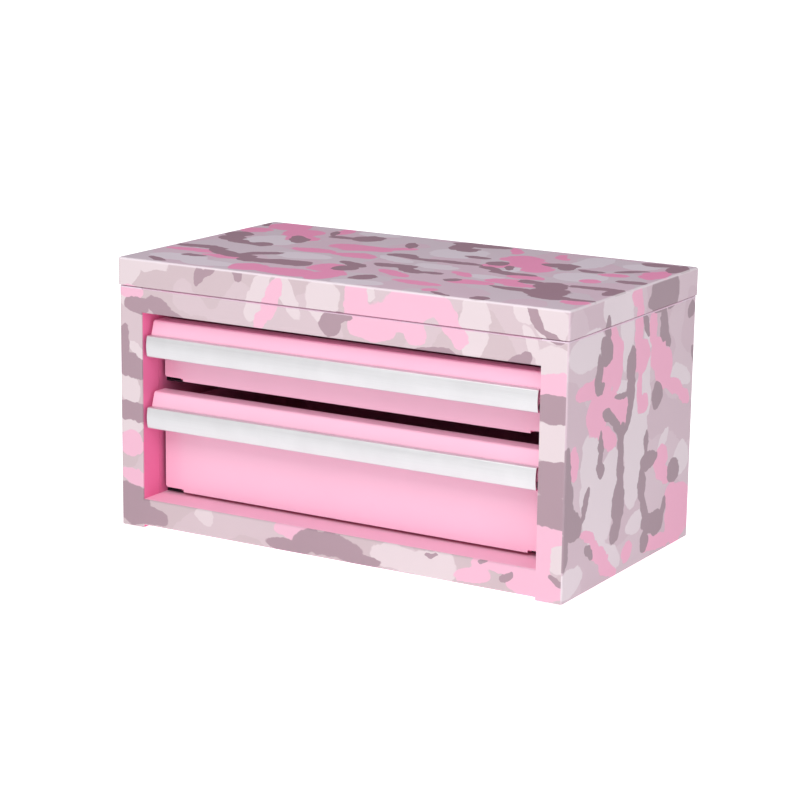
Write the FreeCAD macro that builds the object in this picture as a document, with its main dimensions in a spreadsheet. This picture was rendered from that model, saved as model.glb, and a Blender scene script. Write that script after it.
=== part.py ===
import FreeCAD, Part

import math
import os

import Sketcher
from FreeCAD import Placement, Rotation, Vector

# A small two-drawer tool chest of folded sheet steel: a case with a lid on a piano hinge, and two
# drawers on ball-bearing slides of three members, with aluminium trims clipped on their pull lips.
# Frame: X to the right, Y to the back, Z up, in millimetres. The origin is the middle of the
# footprint, on the surface that the feet stand on.

# Driving dimensions: name, value, meaning
DRIVING_SIZES = [
    ("case_width", 275.0, "case, outside"),
    ("case_depth", 153.0, "case, front face to rear flanges"),
    ("panel_lift", 1.0, "floor to the side panels' lower edge"),
    ("sheet", 0.8, "sheet steel of case, lid and drawers"),
    ("stile_width", 15.0, "front stile of a side panel"),
    ("stile_return", 15.0, "depth of the stile's return"),
    ("case_corner_radius", 1.4, "outer bend of a case corner"),
    ("rear_flange_width", 10.0, "side panel's flange behind the back panel"),
    ("rim_width", 6.0, "side panel's turned-in rim"),
    ("rail_rim_width", 8.0, "turned-in rim of the top rail and the back panel"),
    ("bottom_rail_height", 15.0, "front rail under the drawers"),
    ("bottom_rail_lift", 1.3, "side panels' lower edge to the bottom rail"),
    ("top_rail_height", 13.85, "front rail over the drawers"),
    ("rail_return", 27.0, "depth of the rails' returns"),
    ("bend_radius", 1.2, "outer bend of rails and drawer fronts"),
    ("floor_setback", 15.2, "case front to the front edge of a floor sheet"),
    ("floor_flange_height", 8.0, "rear flange of a floor sheet"),
    ("floor_side_gap", 0.15, "floor sheet to the side panel"),
    ("liner_setback", 15.2, "case front to a slide liner's front flange"),
    ("liner_rear_gap", 3.4, "slide liner to the back panel"),
    ("liner_lip", 8.0, "slide liner's lip on the side panel"),
    ("lid_height", 15.25, "lid, lower edge to top"),
    ("lid_gap", 0.6, "rim to the lid's lower edge"),
    ("lid_overhang", 0.6, "lid beyond the case on every side"),
    ("lid_corner_radius", 1.6, "lid's upright corners"),
    ("lid_top_radius", 1.2, "lid's top edges"),
    ("lid_hem_width", 5.0, "lid's turned-in lower edge"),
    ("lid_open_angle", 100.0, "lid's travel to its stops, in degrees"),
    ("drawer_setback", 18.0, "case front to the drawer fronts' face"),
    ("drawer_side_gap", 2.3, "opening's edge to a drawer front's end"),
    ("lower_front_height", 58.0, "lower drawer front"),
    ("upper_front_height", 34.9, "upper drawer front"),
    ("lower_front_gap", 2.0, "bottom rail to the lower drawer front"),
    ("drawer_slot", 5.2, "slot between the drawer fronts"),
    ("upper_front_gap", 4.8, "upper drawer front to the top rail"),
    ("notch_width", 12.0, "relief notch in a drawer front's lower corner"),
    ("notch_height", 1.5, "relief notch in a drawer front's lower corner"),
    ("front_corner_radius", 1.5, "drawer front's lower corners"),
    ("pull_reach", 10.0, "drawer front's face to the pull lip's upper edge"),
    ("pull_bend_radius", 1.6, "bend between pull flange and lip"),
    ("lip_drop", 15.5, "pull lip, top to lower edge"),
    ("lip_angle", 17.2, "pull lip's forward lean, in degrees"),
    ("trim_drop", 7.8, "drawer front's top to the trim's upper edge"),
    ("trim_height", 12.0, "pull trim"),
    ("trim_setback", 1.9, "case front to the trim's upper and lower edges"),
    ("trim_radius", 21.6, "trim's convex face, in section"),
    ("trim_wall", 1.0, "trim's wall"),
    ("trim_side_gap", 2.0, "opening's edge to the trim's end"),
    ("trim_lower_radius", 1.2, "trim's rounded lower edge"),
    ("trim_upper_radius", 1.0, "trim's rounded upper edge"),
    ("clip_leg_height", 6.8, "trim's leg behind the lip"),
    ("clip_clearance", 0.12, "trim to pull lip"),
    ("box_rear_gap", 6.6, "drawer box to the back panel"),
    ("box_lift", 0.8, "drawer front's lower edge to the box's underside"),
    ("box_drop", 5.1, "drawer front's top to the box's rim"),
    ("hem_height", 4.0, "folded hem round a drawer box"),
    ("slide_thickness", 12.5, "slide, liner to drawer box"),
    ("slide_height", 27.0, "slide's outer member"),
    ("slide_rear_inset", 0.6, "drawer box's rear to the slides' rear ends"),
    ("slide_drop", 1.8, "drawer front's lower edge to the slide's lower edge"),
    ("slide_setback", 22.5, "case front to the slides' front ends"),
    ("member_wall", 1.0, "slide members' steel"),
    ("outer_reach", 11.0, "liner to the outer member's flange ends"),
    ("middle_start", 2.4, "liner to the middle member's web"),
    ("middle_reach", 11.2, "liner to the middle member's flange ends"),
    ("inner_start", 4.7, "liner to the inner member's flange ends"),
    ("race_lip", 1.0, "turned-in lip at a flange's end"),
    ("ball_diameter", 2.4, "slide ball"),
    ("ball_clearance", 0.025, "slide ball to its race"),
    ("outer_ball_offset", 6.4, "liner to the outer balls' centres"),
    ("inner_ball_offset", 7.4, "liner to the inner balls' centres"),
    ("cage_setback", 30.8, "slide's front end to the cages"),
    ("cage_length", 60.0, "ball cage"),
    ("cage_web", 0.5, "ball cage's web"),
    ("cage_web_gap", 0.35, "member's web to the cage's web beside it"),
    ("cage_strip", 1.1, "cage's strips that hold the balls"),
    ("cage_side", 2.2, "cage's strips beyond the balls' centres"),
    ("pocket_clearance", 0.1, "ball to its window in the cage"),
    ("first_ball", 6.0, "cage's front end to its first ball"),
    ("ball_pitch", 24.0, "ball to ball"),
    ("balls_per_row", 3, "balls in one row"),
    ("rivet_radius", 1.6, "rivet's shank"),
    ("rivet_head_radius", 3.0, "rivet's head"),
    ("rivet_head_height", 0.9, "rivet's head"),
    ("rivet_tail", 0.3, "rivet's tail beyond the inner member"),
    ("rivet_clearance", 0.02, "rivet's shank to its hole"),
    ("front_rivet", 14.0, "slide's front end to its front rivet"),
    ("rear_rivet", 12.0, "slide's rear end to its rear rivet"),
    ("hinge_length", 240.0, "piano hinge's barrel"),
    ("knuckle_count", 9, "knuckles of both leaves"),
    ("knuckle_gap", 0.3, "gap between neighbouring knuckles"),
    ("barrel_radius", 2.2, "outside of the knuckles"),
    ("barrel_gap", 0.2, "lid's back to the barrel"),
    ("hinge_pin_radius", 1.1, "hinge pin"),
    ("pin_clearance", 0.05, "hinge pin to knuckle"),
    ("leaf_thickness", 1.0, "hinge leaves"),
    ("leaf_height", 12.0, "barrel's axis to a leaf's far edge"),
    ("leaf_relief", 0.4, "leaf to the other leaf's knuckles"),
    ("ear_start", 2.0, "barrel's axis to the stop ears' contact edge"),
    ("ear_reach", 4.5, "barrel's axis to the stop ears' rear end"),
    ("ear_depth", 3.0, "stop ears, upper to lower edge at the rear"),
    ("ear_thickness", 1.5, "stop ears"),
    ("ear_clearance", 0.15, "open lid to the stop ears"),
    ("foot_radius", 6.0, "rubber foot, at the bottom pan"),
    ("foot_taper", 0.7, "rubber foot's narrowing to the floor"),
    ("foot_side_inset", 22.0, "case side to a foot's centre"),
    ("foot_front_inset", 33.5, "case front to a front foot's centre"),
    ("foot_rear_inset", 20.0, "case back to a rear foot's centre"),
    ("bumper_radius", 3.0, "lid bumper"),
    ("bumper_side_inset", 8.5, "case side to a bumper's centre"),
    ("bumper_front_inset", 5.2, "case front to a bumper's centre"),
    ("bumper_clearance", 0.1, "bumper to the closed lid"),
    ("mat_thickness", 2.0, "foam mats"),
    ("mat_margin", 1.6, "mat to the walls round it"),
]

LEFT = -1
RIGHT = 1
SIDES = {"left": LEFT, "right": RIGHT}

# Sides of the small round pieces that repeat
RIVET_SIDES = 12
BALL_SIDES = 8

# How exactly an edge's place and direction must agree with the place asked for
PLACE_TOLERANCE = 1e-3
DIRECTION_TOLERANCE = 1e-6

# A corner cut at 45 degrees runs as a tangent to the arc it stands for when it takes this share
# of the arc's radius off both sides
CORNER_SHARE = 2 - math.sqrt(2)


class Size:
    """A number together with the expression that gives it from the driving dimensions."""

    def __init__(self, value, text):
        self.value = value
        self.text = text

    def __add__(self, other):
        other = as_size(other)
        return Size(self.value + other.value, f"({self.text} + {other.text})")

    def __sub__(self, other):
        other = as_size(other)
        return Size(self.value - other.value, f"({self.text} - {other.text})")

    def __mul__(self, other):
        other = as_size(other)
        return Size(self.value * other.value, f"({self.text} * {other.text})")

    def __truediv__(self, other):
        other = as_size(other)
        return Size(self.value / other.value, f"({self.text} / {other.text})")

    def __rmul__(self, number):
        return as_size(number) * self

    def __neg__(self):
        return as_size(0) - self


def as_size(number):
    """A plain number as a Size."""
    return number if isinstance(number, Size) else Size(float(number), repr(float(number)))


def cosine(angle):
    return Size(math.cos(math.radians(angle.value)), f"cos({angle.text})")


def sine(angle):
    return Size(math.sin(math.radians(angle.value)), f"sin({angle.text})")


def root(amount):
    return Size(math.sqrt(amount.value), f"sqrt({amount.text})")


def make_sizes():
    """Fills the sheet with the driving dimensions and gives them back by name."""
    cells = doc.addObject("Spreadsheet::Sheet", "Sizes")
    named = {}
    for row, (name, value, meaning) in enumerate(DRIVING_SIZES, start=1):
        cells.set(f"A{row}", name)
        cells.set(f"B{row}", str(value))
        cells.setAlias(f"B{row}", name)
        cells.set(f"C{row}", meaning)
        named[name] = Size(float(value), f"Sizes.{name}")
    doc.recompute()
    return named


doc = FreeCAD.newDocument("ToolChest")
size = make_sizes()

# Places that several pieces share

sheet = size["sheet"]
half_width = size["case_width"] / 2
inside = half_width - sheet
half_opening = half_width - size["stile_width"]
barrel_behind = size["lid_overhang"] + size["barrel_gap"] + size["barrel_radius"]
front = (size["lid_overhang"] - size["case_depth"] - barrel_behind - size["ear_reach"]) / 2
rear = front + size["case_depth"]
back_outside = rear - sheet
back_inside = back_outside - sheet
rail_low = size["panel_lift"] + size["bottom_rail_lift"]
opening_low = rail_low + size["bottom_rail_height"]
lower_low = opening_low + size["lower_front_gap"]
lower_high = lower_low + size["lower_front_height"]
upper_low = lower_high + size["drawer_slot"]
upper_high = upper_low + size["upper_front_height"]
opening_high = upper_high + size["upper_front_gap"]
rim = opening_high + size["top_rail_height"]
pan_low = rail_low + sheet
tray_low = opening_high + sheet
lid_low = rim + size["lid_gap"]
lid_top = lid_low + size["lid_height"]
lid_rear = rear + size["lid_overhang"]
barrel_y = rear + barrel_behind
barrel_z = rim + size["lid_gap"] / 2
front_face = front + size["drawer_setback"]
box_front = front_face + sheet
box_rear = back_inside - size["box_rear_gap"]
half_front = half_opening - size["drawer_side_gap"]
half_box = half_opening - size["slide_thickness"]
half_slide = size["slide_height"] / 2
slide_front = front + size["slide_setback"]
slide_rear = box_rear - size["slide_rear_inset"]
rivet_places = {"front": slide_front + size["front_rivet"], "rear": slide_rear - size["rear_rivet"]}
liner_front = front + size["liner_setback"]
liner_rear = back_inside - size["liner_rear_gap"]
ball_radius = size["ball_diameter"] / 2

# Heights of the drawer fronts' lower and upper edges
DRAWERS = {"lower": (lower_low, lower_high), "upper": (upper_low, upper_high)}

# Half heights of the slide's flanges and ball rows, from the outside in
outer_race = half_slide - size["member_wall"]
outer_row = outer_race - size["ball_clearance"] - ball_radius
middle_outside = outer_row - ball_radius - size["ball_clearance"]
middle_race = middle_outside - size["member_wall"]
inner_row = middle_race - size["ball_clearance"] - ball_radius
inner_outside = inner_row - ball_radius - size["ball_clearance"]


# Building blocks

def bind(feature, path, amount):
    """Ties one property of a feature to the driving dimensions."""
    feature.setExpression(path, amount.text)


def new_body(label):
    body = doc.addObject("PartDesign::Body", label)
    body.Label = label
    return body


def origin_feature(body, role):
    return next(feature for feature in body.Origin.OriginFeatures if feature.Role == role)


def new_sketch(body, name, plane, height):
    """A sketch on an origin plane, moved along its normal. XY looks along -Z, YZ along -X, XZ along +Y."""
    sketch = body.newObject("Sketcher::SketchObject", f"{body.Label}_{name}")
    sketch.AttachmentSupport = [(origin_feature(body, plane), "")]
    sketch.MapMode = "FlatFace"
    sketch.AttachmentOffset = Placement(Vector(0, 0, height.value), Rotation())
    bind(sketch, "AttachmentOffset.Base.z", height)
    return sketch


def pin_point(sketch, curve, end, x, y):
    """Fixes one end of a curve, or a circle's centre, at a place."""
    for kind, amount in (("DistanceX", x), ("DistanceY", y)):
        index = sketch.addConstraint(Sketcher.Constraint(kind, -1, 1, curve, end, amount.value))
        bind(sketch, f"Constraints[{index}]", amount)


def fix_radius(sketch, curve, radius):
    index = sketch.addConstraint(Sketcher.Constraint("Radius", curve, radius.value))
    bind(sketch, f"Constraints[{index}]", radius)


def arc_between(start, end, radius, turn):
    """The shorter arc from start to end; turn is 1 anticlockwise and -1 clockwise."""
    chord = end - start
    middle = (start + end) / 2
    away = math.sqrt(radius.value ** 2 - (chord.Length / 2) ** 2)
    centre = middle + Vector(-chord.y, chord.x, 0).normalize() * away * turn
    first, last = (start, end) if turn > 0 else (end, start)
    angles = [math.atan2(point.y - centre.y, point.x - centre.x) % math.tau for point in (first, last)]
    return Part.ArcOfCircle(Part.Circle(centre, Vector(0, 0, 1), radius.value), *angles)


def draw_outline(sketch, corners, arcs=None):
    """A closed outline through the corners. arcs names the sides that are round, by the number of
    the corner that they leave, and gives each a radius and a turn."""
    arcs = arcs or {}
    base = sketch.GeometryCount
    count = len(corners)
    points = [Vector(x.value, y.value, 0) for x, y in corners]
    ends = []
    for index in range(count):
        start, end = points[index], points[(index + 1) % count]
        if index in arcs:
            radius, turn = arcs[index]
            sketch.addGeometry(arc_between(start, end, radius, turn))
            ends.append((1, 2) if turn > 0 else (2, 1))
        else:
            sketch.addGeometry(Part.LineSegment(start, end))
            ends.append((1, 2))
    for index in range(count):
        following = (index + 1) % count
        meeting = (base + index, ends[index][1], base + following, ends[following][0])
        sketch.addConstraint(Sketcher.Constraint("Coincident", *meeting))
    for index, (x, y) in enumerate(corners):
        pin_point(sketch, base + index, ends[index][0], x, y)
    for index, (radius, _) in arcs.items():
        fix_radius(sketch, base + index, radius)


def draw_rectangle(sketch, low_x, low_y, high_x, high_y):
    draw_outline(sketch, [(low_x, low_y), (high_x, low_y), (high_x, high_y), (low_x, high_y)])


def draw_regular(sketch, x, y, radius, sides):
    """A regular outline with its corners on a circle, the first of them towards +x."""
    step = as_size(360 / sides)
    corners = [(x + radius * cosine(step * k), y + radius * sine(step * k)) for k in range(sides)]
    draw_outline(sketch, corners)


def draw_circle(sketch, x, y, radius):
    curve = sketch.addGeometry(Part.Circle(Vector(x.value, y.value, 0), Vector(0, 0, 1), radius.value))
    pin_point(sketch, curve, 3, x, y)
    fix_radius(sketch, curve, radius)


def add_feature(body, kind):
    return body.newObject(f"PartDesign::{kind}", f"{body.Label}_{kind}")


def pad(body, sketch, length, reverse=False):
    """Pads a sketch along its plane's normal, or against it."""
    feature = add_feature(body, "Pad")
    feature.Profile = sketch
    feature.Length = length.value
    bind(feature, "Length", length)
    feature.Reversed = reverse
    doc.recompute()
    return feature


def pocket(body, sketch, length, reverse=False):
    """Cuts a sketch out against its plane's normal, or along it, and refuses a cut that misses."""
    before = body.Shape.Volume
    feature = add_feature(body, "Pocket")
    feature.Profile = sketch
    feature.Length = length.value
    bind(feature, "Length", length)
    feature.Reversed = reverse
    doc.recompute()
    if body.Shape.Volume >= before:
        raise ValueError(f"{feature.Name} cuts nothing")
    return feature


def pattern(body, features, axis, length, count):
    """Repeats features along an origin axis, over a length."""
    copies = add_feature(body, "LinearPattern")
    copies.Originals = features
    copies.Direction = (origin_feature(body, axis), [""])
    copies.Length = length.value
    bind(copies, "Length", length)
    copies.Occurrences = round(count.value)
    bind(copies, "Occurrences", count)
    body.Tip = copies
    doc.recompute()


def straight_edges(shape, axis, places):
    """Names of the straight edges along an axis whose other two coordinates are one of the places."""
    along = {"X": Vector(1, 0, 0), "Y": Vector(0, 1, 0), "Z": Vector(0, 0, 1)}[axis]
    names = []
    for number, edge in enumerate(shape.Edges, start=1):
        if edge.Curve.TypeId != "Part::GeomLine":
            continue
        if edge.tangentAt(edge.FirstParameter).cross(along).Length > DIRECTION_TOLERANCE:
            continue
        across = [part for part, name in zip(edge.CenterOfMass, "XYZ") if name != axis]
        for place in places:
            if all(abs(part - amount.value) < PLACE_TOLERANCE for part, amount in zip(across, place)):
                names.append(f"Edge{number}")
    return names


def round_edges(body, names, radius):
    base = body.Tip
    feature = add_feature(body, "Fillet")
    feature.Base = (base, names)
    feature.Radius = radius.value
    bind(feature, "Radius", radius)
    doc.recompute()


def fillet(body, axis, places, radius):
    """Rounds the straight edges along an axis that pass through the given places."""
    names = straight_edges(body.Tip.Shape, axis, places)
    if len(names) < len(places):
        raise ValueError(f"{body.Label}: an edge to round is missing")
    round_edges(body, names, radius)


def bar_along_x(body, name, corners, half_length, arcs=None):
    """A section in the YZ plane carried along X, the same length to both sides."""
    section = new_sketch(body, name, "YZ_Plane", -half_length)
    draw_outline(section, corners, arcs)
    pad(body, section, 2 * half_length)


def bar_along_y(body, name, side, corners, start, length):
    """A section in the XZ plane carried to the rear; x is measured towards the given side."""
    section = new_sketch(body, name, "XZ_Plane", -start)
    draw_outline(section, [(side * x, z) for x, z in corners])
    pad(body, section, length, reverse=True)


def place(feature, x, y, z):
    """Puts a primitive at a place."""
    for path, amount in zip(("x", "y", "z"), (x, y, z)):
        bind(feature, f"Placement.Base.{path}", amount)


def new_box(label, low, high):
    """A plain block between two corners."""
    block = doc.addObject("Part::Box", label)
    block.Label = label
    for path, start, end in zip(("Length", "Width", "Height"), low, high):
        bind(block, path, end - start)
    place(block, *low)
    return block


def new_prism(label, sides, radius, length, start, turn):
    """A bar with a regular section from a place, along +Z turned by a rotation."""
    bar = doc.addObject("Part::Prism", label)
    bar.Polygon = sides
    bind(bar, "Circumradius", radius)
    bind(bar, "Height", length)
    bar.Placement = Placement(Vector(), turn)
    place(bar, *start)
    return bar


def new_cylinder(label, radius, length, start, turn):
    """A round bar from a place, along +Z turned by a rotation."""
    bar = doc.addObject("Part::Cylinder", label)
    bar.Label = label
    bind(bar, "Radius", radius)
    bind(bar, "Height", length)
    bar.Placement = Placement(Vector(), turn)
    place(bar, *start)
    return bar


def group(label, members):
    """Several separate solids of one kind as one sub-part."""
    compound = doc.addObject("Part::Compound", label)
    compound.Label = label
    compound.Links = members
    return compound


# Slides and their rivets: places and holes

# Turns that bring +Z to another axis
ALONG_X = Rotation(Vector(0, 1, 0), 90)
AGAINST_X = Rotation(Vector(0, 1, 0), -90)
ALONG_Y = Rotation(Vector(1, 0, 0), -90)


def slide_middle(low):
    """Height of a slide's middle, from the lower edge of its drawer's front."""
    return low - size["slide_drop"] + half_slide


def drill_slide_wall(body, side, near, wall, low):
    """Rivet holes of a slide through an upright wall; near is its face towards the middle."""
    holes = new_sketch(body, "slide_holes", "YZ_Plane", side * near)
    radius = size["rivet_radius"] + size["rivet_clearance"]
    for y in rivet_places.values():
        draw_regular(holes, y, slide_middle(low), radius, RIVET_SIDES)
    pocket(body, holes, wall, reverse=side == RIGHT)


def drawer_rivets(label, low):
    """Rivets that hold a drawer box on its inner slide members, with their heads in the box."""
    head_height = size["rivet_head_height"]
    reach = sheet + size["member_wall"] + size["rivet_tail"]
    seat = half_box - sheet
    bars = {
        "head": (size["rivet_head_radius"], head_height, seat - head_height),
        "shank": (size["rivet_radius"], reach, seat),
    }
    members = []
    for side_name, side in SIDES.items():
        turn = ALONG_X if side == RIGHT else AGAINST_X
        for end, y in rivet_places.items():
            rivet = doc.addObject("Part::MultiFuse", f"{label}_{side_name}_{end}")
            rivet.Shapes = [
                new_prism(f"{rivet.Name}_{name}", RIVET_SIDES, radius, length,
                          (side * start, y, slide_middle(low)), turn)
                for name, (radius, length, start) in bars.items()
            ]
            members.append(rivet)
    return group(label, members)


# Case

def side_panel(label, side):
    """Side panel: flat wall, front stile with its return, rear flange and turned-in rim."""
    body = new_body(label)
    stile_inside = half_opening + sheet
    stile_end = front + size["stile_return"]
    flange_end = half_width - size["rear_flange_width"]
    corners = [
        (half_width, front), (half_opening, front), (half_opening, stile_end), (stile_inside, stile_end),
        (stile_inside, front + sheet), (inside, front + sheet), (inside, back_outside),
        (flange_end, back_outside), (flange_end, rear), (half_width, rear),
    ]
    profile = new_sketch(body, "profile", "XY_Plane", size["panel_lift"])
    draw_outline(profile, [(side * x, y) for x, y in corners])
    pad(body, profile, rim - size["panel_lift"])
    fillet(body, "Z", [(side * half_width, front), (side * half_width, rear)], size["case_corner_radius"])
    inner_bends = [(side * inside, front + sheet), (side * inside, back_outside)]
    fillet(body, "Z", inner_bends, size["case_corner_radius"] - sheet)
    rim_end = inside - size["rim_width"]
    corner_end = front + sheet + size["rail_rim_width"]
    rim_corners = [
        (inside, front + sheet), (stile_inside, front + sheet), (stile_inside, corner_end),
        (rim_end, corner_end), (rim_end, back_inside - size["rail_rim_width"]),
        (inside, back_inside - size["rail_rim_width"]),
    ]
    turned_rim = new_sketch(body, "rim", "XY_Plane", rim - sheet)
    draw_outline(turned_rim, [(side * x, y) for x, y in rim_corners])
    pad(body, turned_rim, sheet)
    return body


def front_rail(label, low, high, low_reach, high_reach):
    """Front rail between the stiles: its face, and a return along its lower and its upper edge."""
    body = new_body(label)
    face_inside = front + sheet
    corners = [
        (front, low), (front + low_reach, low), (front + low_reach, low + sheet),
        (face_inside, low + sheet), (face_inside, high - sheet), (front + high_reach, high - sheet),
        (front + high_reach, high), (front, high),
    ]
    bar_along_x(body, "profile", corners, half_opening)
    fillet(body, "X", [(front, low), (front, high)], size["bend_radius"])
    inner_bends = [(face_inside, low + sheet), (face_inside, high - sheet)]
    fillet(body, "X", inner_bends, size["bend_radius"] - sheet)
    return body


def back_panel():
    """Back panel with its turned-in rim, between the bends of the side panels."""
    body = new_body("back_panel")
    rim_end = back_inside - size["rail_rim_width"]
    corners = [
        (back_outside, rail_low), (back_outside, rim), (rim_end, rim), (rim_end, rim - sheet),
        (back_inside, rim - sheet), (back_inside, rail_low),
    ]
    bar_along_x(body, "profile", corners, half_width - size["case_corner_radius"])
    return body


def floor_sheet(label, low):
    """Flat floor with an upturned rear flange against the back panel."""
    body = new_body(label)
    start = front + size["floor_setback"]
    flange_front = back_inside - sheet
    flange_top = low + size["floor_flange_height"]
    corners = [
        (start, low), (back_inside, low), (back_inside, flange_top), (flange_front, flange_top),
        (flange_front, low + sheet), (start, low + sheet),
    ]
    bar_along_x(body, "profile", corners, inside - size["floor_side_gap"])
    return body


def slide_liner(label, side):
    """Inner wall that carries the slides: web, front and rear flanges, lips on the side panel."""
    body = new_body(label)
    web_outside = half_opening + sheet
    lip_inside = inside - sheet
    front_lip_end = liner_front + size["liner_lip"]
    rear_lip_end = liner_rear - size["liner_lip"]
    corners = [
        (half_opening, liner_front), (half_opening, liner_rear), (inside, liner_rear),
        (inside, rear_lip_end), (lip_inside, rear_lip_end), (lip_inside, liner_rear - sheet),
        (web_outside, liner_rear - sheet), (web_outside, liner_front + sheet),
        (lip_inside, liner_front + sheet), (lip_inside, front_lip_end), (inside, front_lip_end),
        (inside, liner_front),
    ]
    profile = new_sketch(body, "profile", "XY_Plane", pan_low + sheet)
    draw_outline(profile, [(side * x, y) for x, y in corners])
    pad(body, profile, tray_low - pan_low - sheet)
    return body


def rubber_feet():
    """Four tapered feet under the bottom pan."""
    members = []
    for side_name, side in SIDES.items():
        x = side * (half_width - size["foot_side_inset"])
        ends = {"front": front + size["foot_front_inset"], "rear": rear - size["foot_rear_inset"]}
        for end, y in ends.items():
            foot = doc.addObject("Part::Cone", f"foot_{side_name}_{end}")
            bind(foot, "Radius1", size["foot_radius"] - size["foot_taper"])
            bind(foot, "Radius2", size["foot_radius"])
            bind(foot, "Height", pan_low)
            place(foot, x, y, as_size(0))
            members.append(foot)
    return group("rubber_feet", members)


def lid_bumpers():
    """Two bumpers on the front corners of the rim."""
    height = size["lid_gap"] - size["bumper_clearance"]
    members = []
    for side_name, side in SIDES.items():
        start = (side * (half_width - size["bumper_side_inset"]), front + size["bumper_front_inset"], rim)
        bumper = new_cylinder(f"bumper_{side_name}", size["bumper_radius"], height, start, Rotation())
        members.append(bumper)
    return group("lid_bumpers", members)


def tray_mat():
    """Foam mat on the floor of the top compartment, behind the stiles' returns."""
    half = inside - size["mat_margin"]
    start = front + size["stile_return"] + size["mat_margin"]
    end = back_inside - size["mat_margin"]
    low = tray_low + sheet
    return new_box("tray_mat", (-half, start, low), (half, end, low + size["mat_thickness"]))


# Lid and hinge

def lid_shell():
    """Lid: a shallow pan with rounded edges, its lower edge turned in all round."""
    body = new_body("lid_shell")
    outer_x = half_width + size["lid_overhang"]
    outer_front = front - size["lid_overhang"]
    outline = new_sketch(body, "outline", "XY_Plane", lid_low)
    draw_rectangle(outline, -outer_x, outer_front, outer_x, lid_rear)
    pad(body, outline, size["lid_height"])
    uprights = [(side * outer_x, y) for side in SIDES.values() for y in (outer_front, lid_rear)]
    fillet(body, "Z", uprights, size["lid_corner_radius"])
    top_edges = [
        f"Edge{number}" for number, edge in enumerate(body.Shape.Edges, start=1)
        if all(abs(vertex.Z - lid_top.value) < PLACE_TOLERANCE for vertex in edge.Vertexes)
    ]
    round_edges(body, top_edges, size["lid_top_radius"])
    open_faces = [
        f"Face{number}" for number, face in enumerate(body.Shape.Faces, start=1)
        if abs(face.CenterOfMass.z - lid_low.value) < PLACE_TOLERANCE
    ]
    block = body.Tip
    shell = add_feature(body, "Thickness")
    shell.Base = (block, open_faces)
    shell.Value = sheet.value
    bind(shell, "Value", sheet)
    shell.Reversed = True
    body.Tip = shell
    doc.recompute()
    turn_in_lid_edge(body, outer_x, outer_front)
    return body


def turn_in_lid_edge(body, outer_x, outer_front):
    """The lid's turned-in hem: a flat frame from the middle of the wall inwards, its outer corners
    cut off inside the wall's bend."""
    hem = new_sketch(body, "hem", "XY_Plane", lid_low)
    inset = sheet / 2
    x, low_y, high_y = outer_x - inset, outer_front + inset, lid_rear - inset
    cut = CORNER_SHARE * (size["lid_corner_radius"] - inset)
    draw_outline(hem, [
        (cut - x, low_y), (x - cut, low_y), (x, low_y + cut), (x, high_y - cut),
        (x - cut, high_y), (cut - x, high_y), (-x, high_y - cut), (-x, low_y + cut),
    ])
    inset = sheet + size["lid_hem_width"]
    draw_rectangle(hem, inset - outer_x, outer_front + inset, outer_x - inset, lid_rear - inset)
    pad(body, hem, sheet)


def hinge_leaf(label, up, inner_y, first_knuckle, knuckles, half_length):
    """One leaf: a plate on the case or the lid, necks over the barrel's tangent, and knuckles.
    up is 1 above the barrel and -1 below it; first_knuckle counts from the barrel's left end."""
    body = new_body(label)
    pitch = size["hinge_length"] / size["knuckle_count"]
    outer_y = inner_y + size["leaf_thickness"]
    edge_z = barrel_z + up * (size["barrel_radius"] + size["leaf_relief"])
    far_z = barrel_z + up * size["leaf_height"]
    plate_corners = [(inner_y, edge_z), (outer_y, edge_z), (outer_y, far_z), (inner_y, far_z)]
    bar_along_x(body, "plate", plate_corners, half_length)

    start_x = first_knuckle * pitch + size["knuckle_gap"] / 2 - size["hinge_length"] / 2
    width = pitch - size["knuckle_gap"]
    neck_low = barrel_z + up * (size["barrel_radius"] - size["leaf_thickness"])
    neck_high = barrel_z + up * size["barrel_radius"]
    neck = new_sketch(body, "neck", "YZ_Plane", start_x)
    draw_outline(neck, [
        (inner_y, edge_z), (inner_y, neck_low), (barrel_y, neck_low), (barrel_y, neck_high),
        (outer_y, neck_high), (outer_y, edge_z),
    ])
    neck_pad = pad(body, neck, width)
    barrel = new_sketch(body, "barrel", "YZ_Plane", start_x)
    draw_circle(barrel, barrel_y, barrel_z, size["barrel_radius"])
    barrel_pad = pad(body, barrel, width)
    pattern(body, [neck_pad, barrel_pad], "X_Axis", 2 * pitch * (knuckles - 1), knuckles)

    bore = new_sketch(body, "bore", "YZ_Plane", size["hinge_length"] / 2)
    draw_circle(bore, barrel_y, barrel_z, size["hinge_pin_radius"] + size["pin_clearance"])
    pocket(body, bore, size["hinge_length"])
    return body


def ear_top(behind):
    """Height of a stop ear's upper edge above the barrel's axis: it lies under the open lid's back."""
    angle = size["lid_open_angle"]
    back_gap = size["barrel_radius"] + size["barrel_gap"]
    return (back_gap + behind * cosine(angle)) / sine(angle) - size["ear_clearance"]


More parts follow.
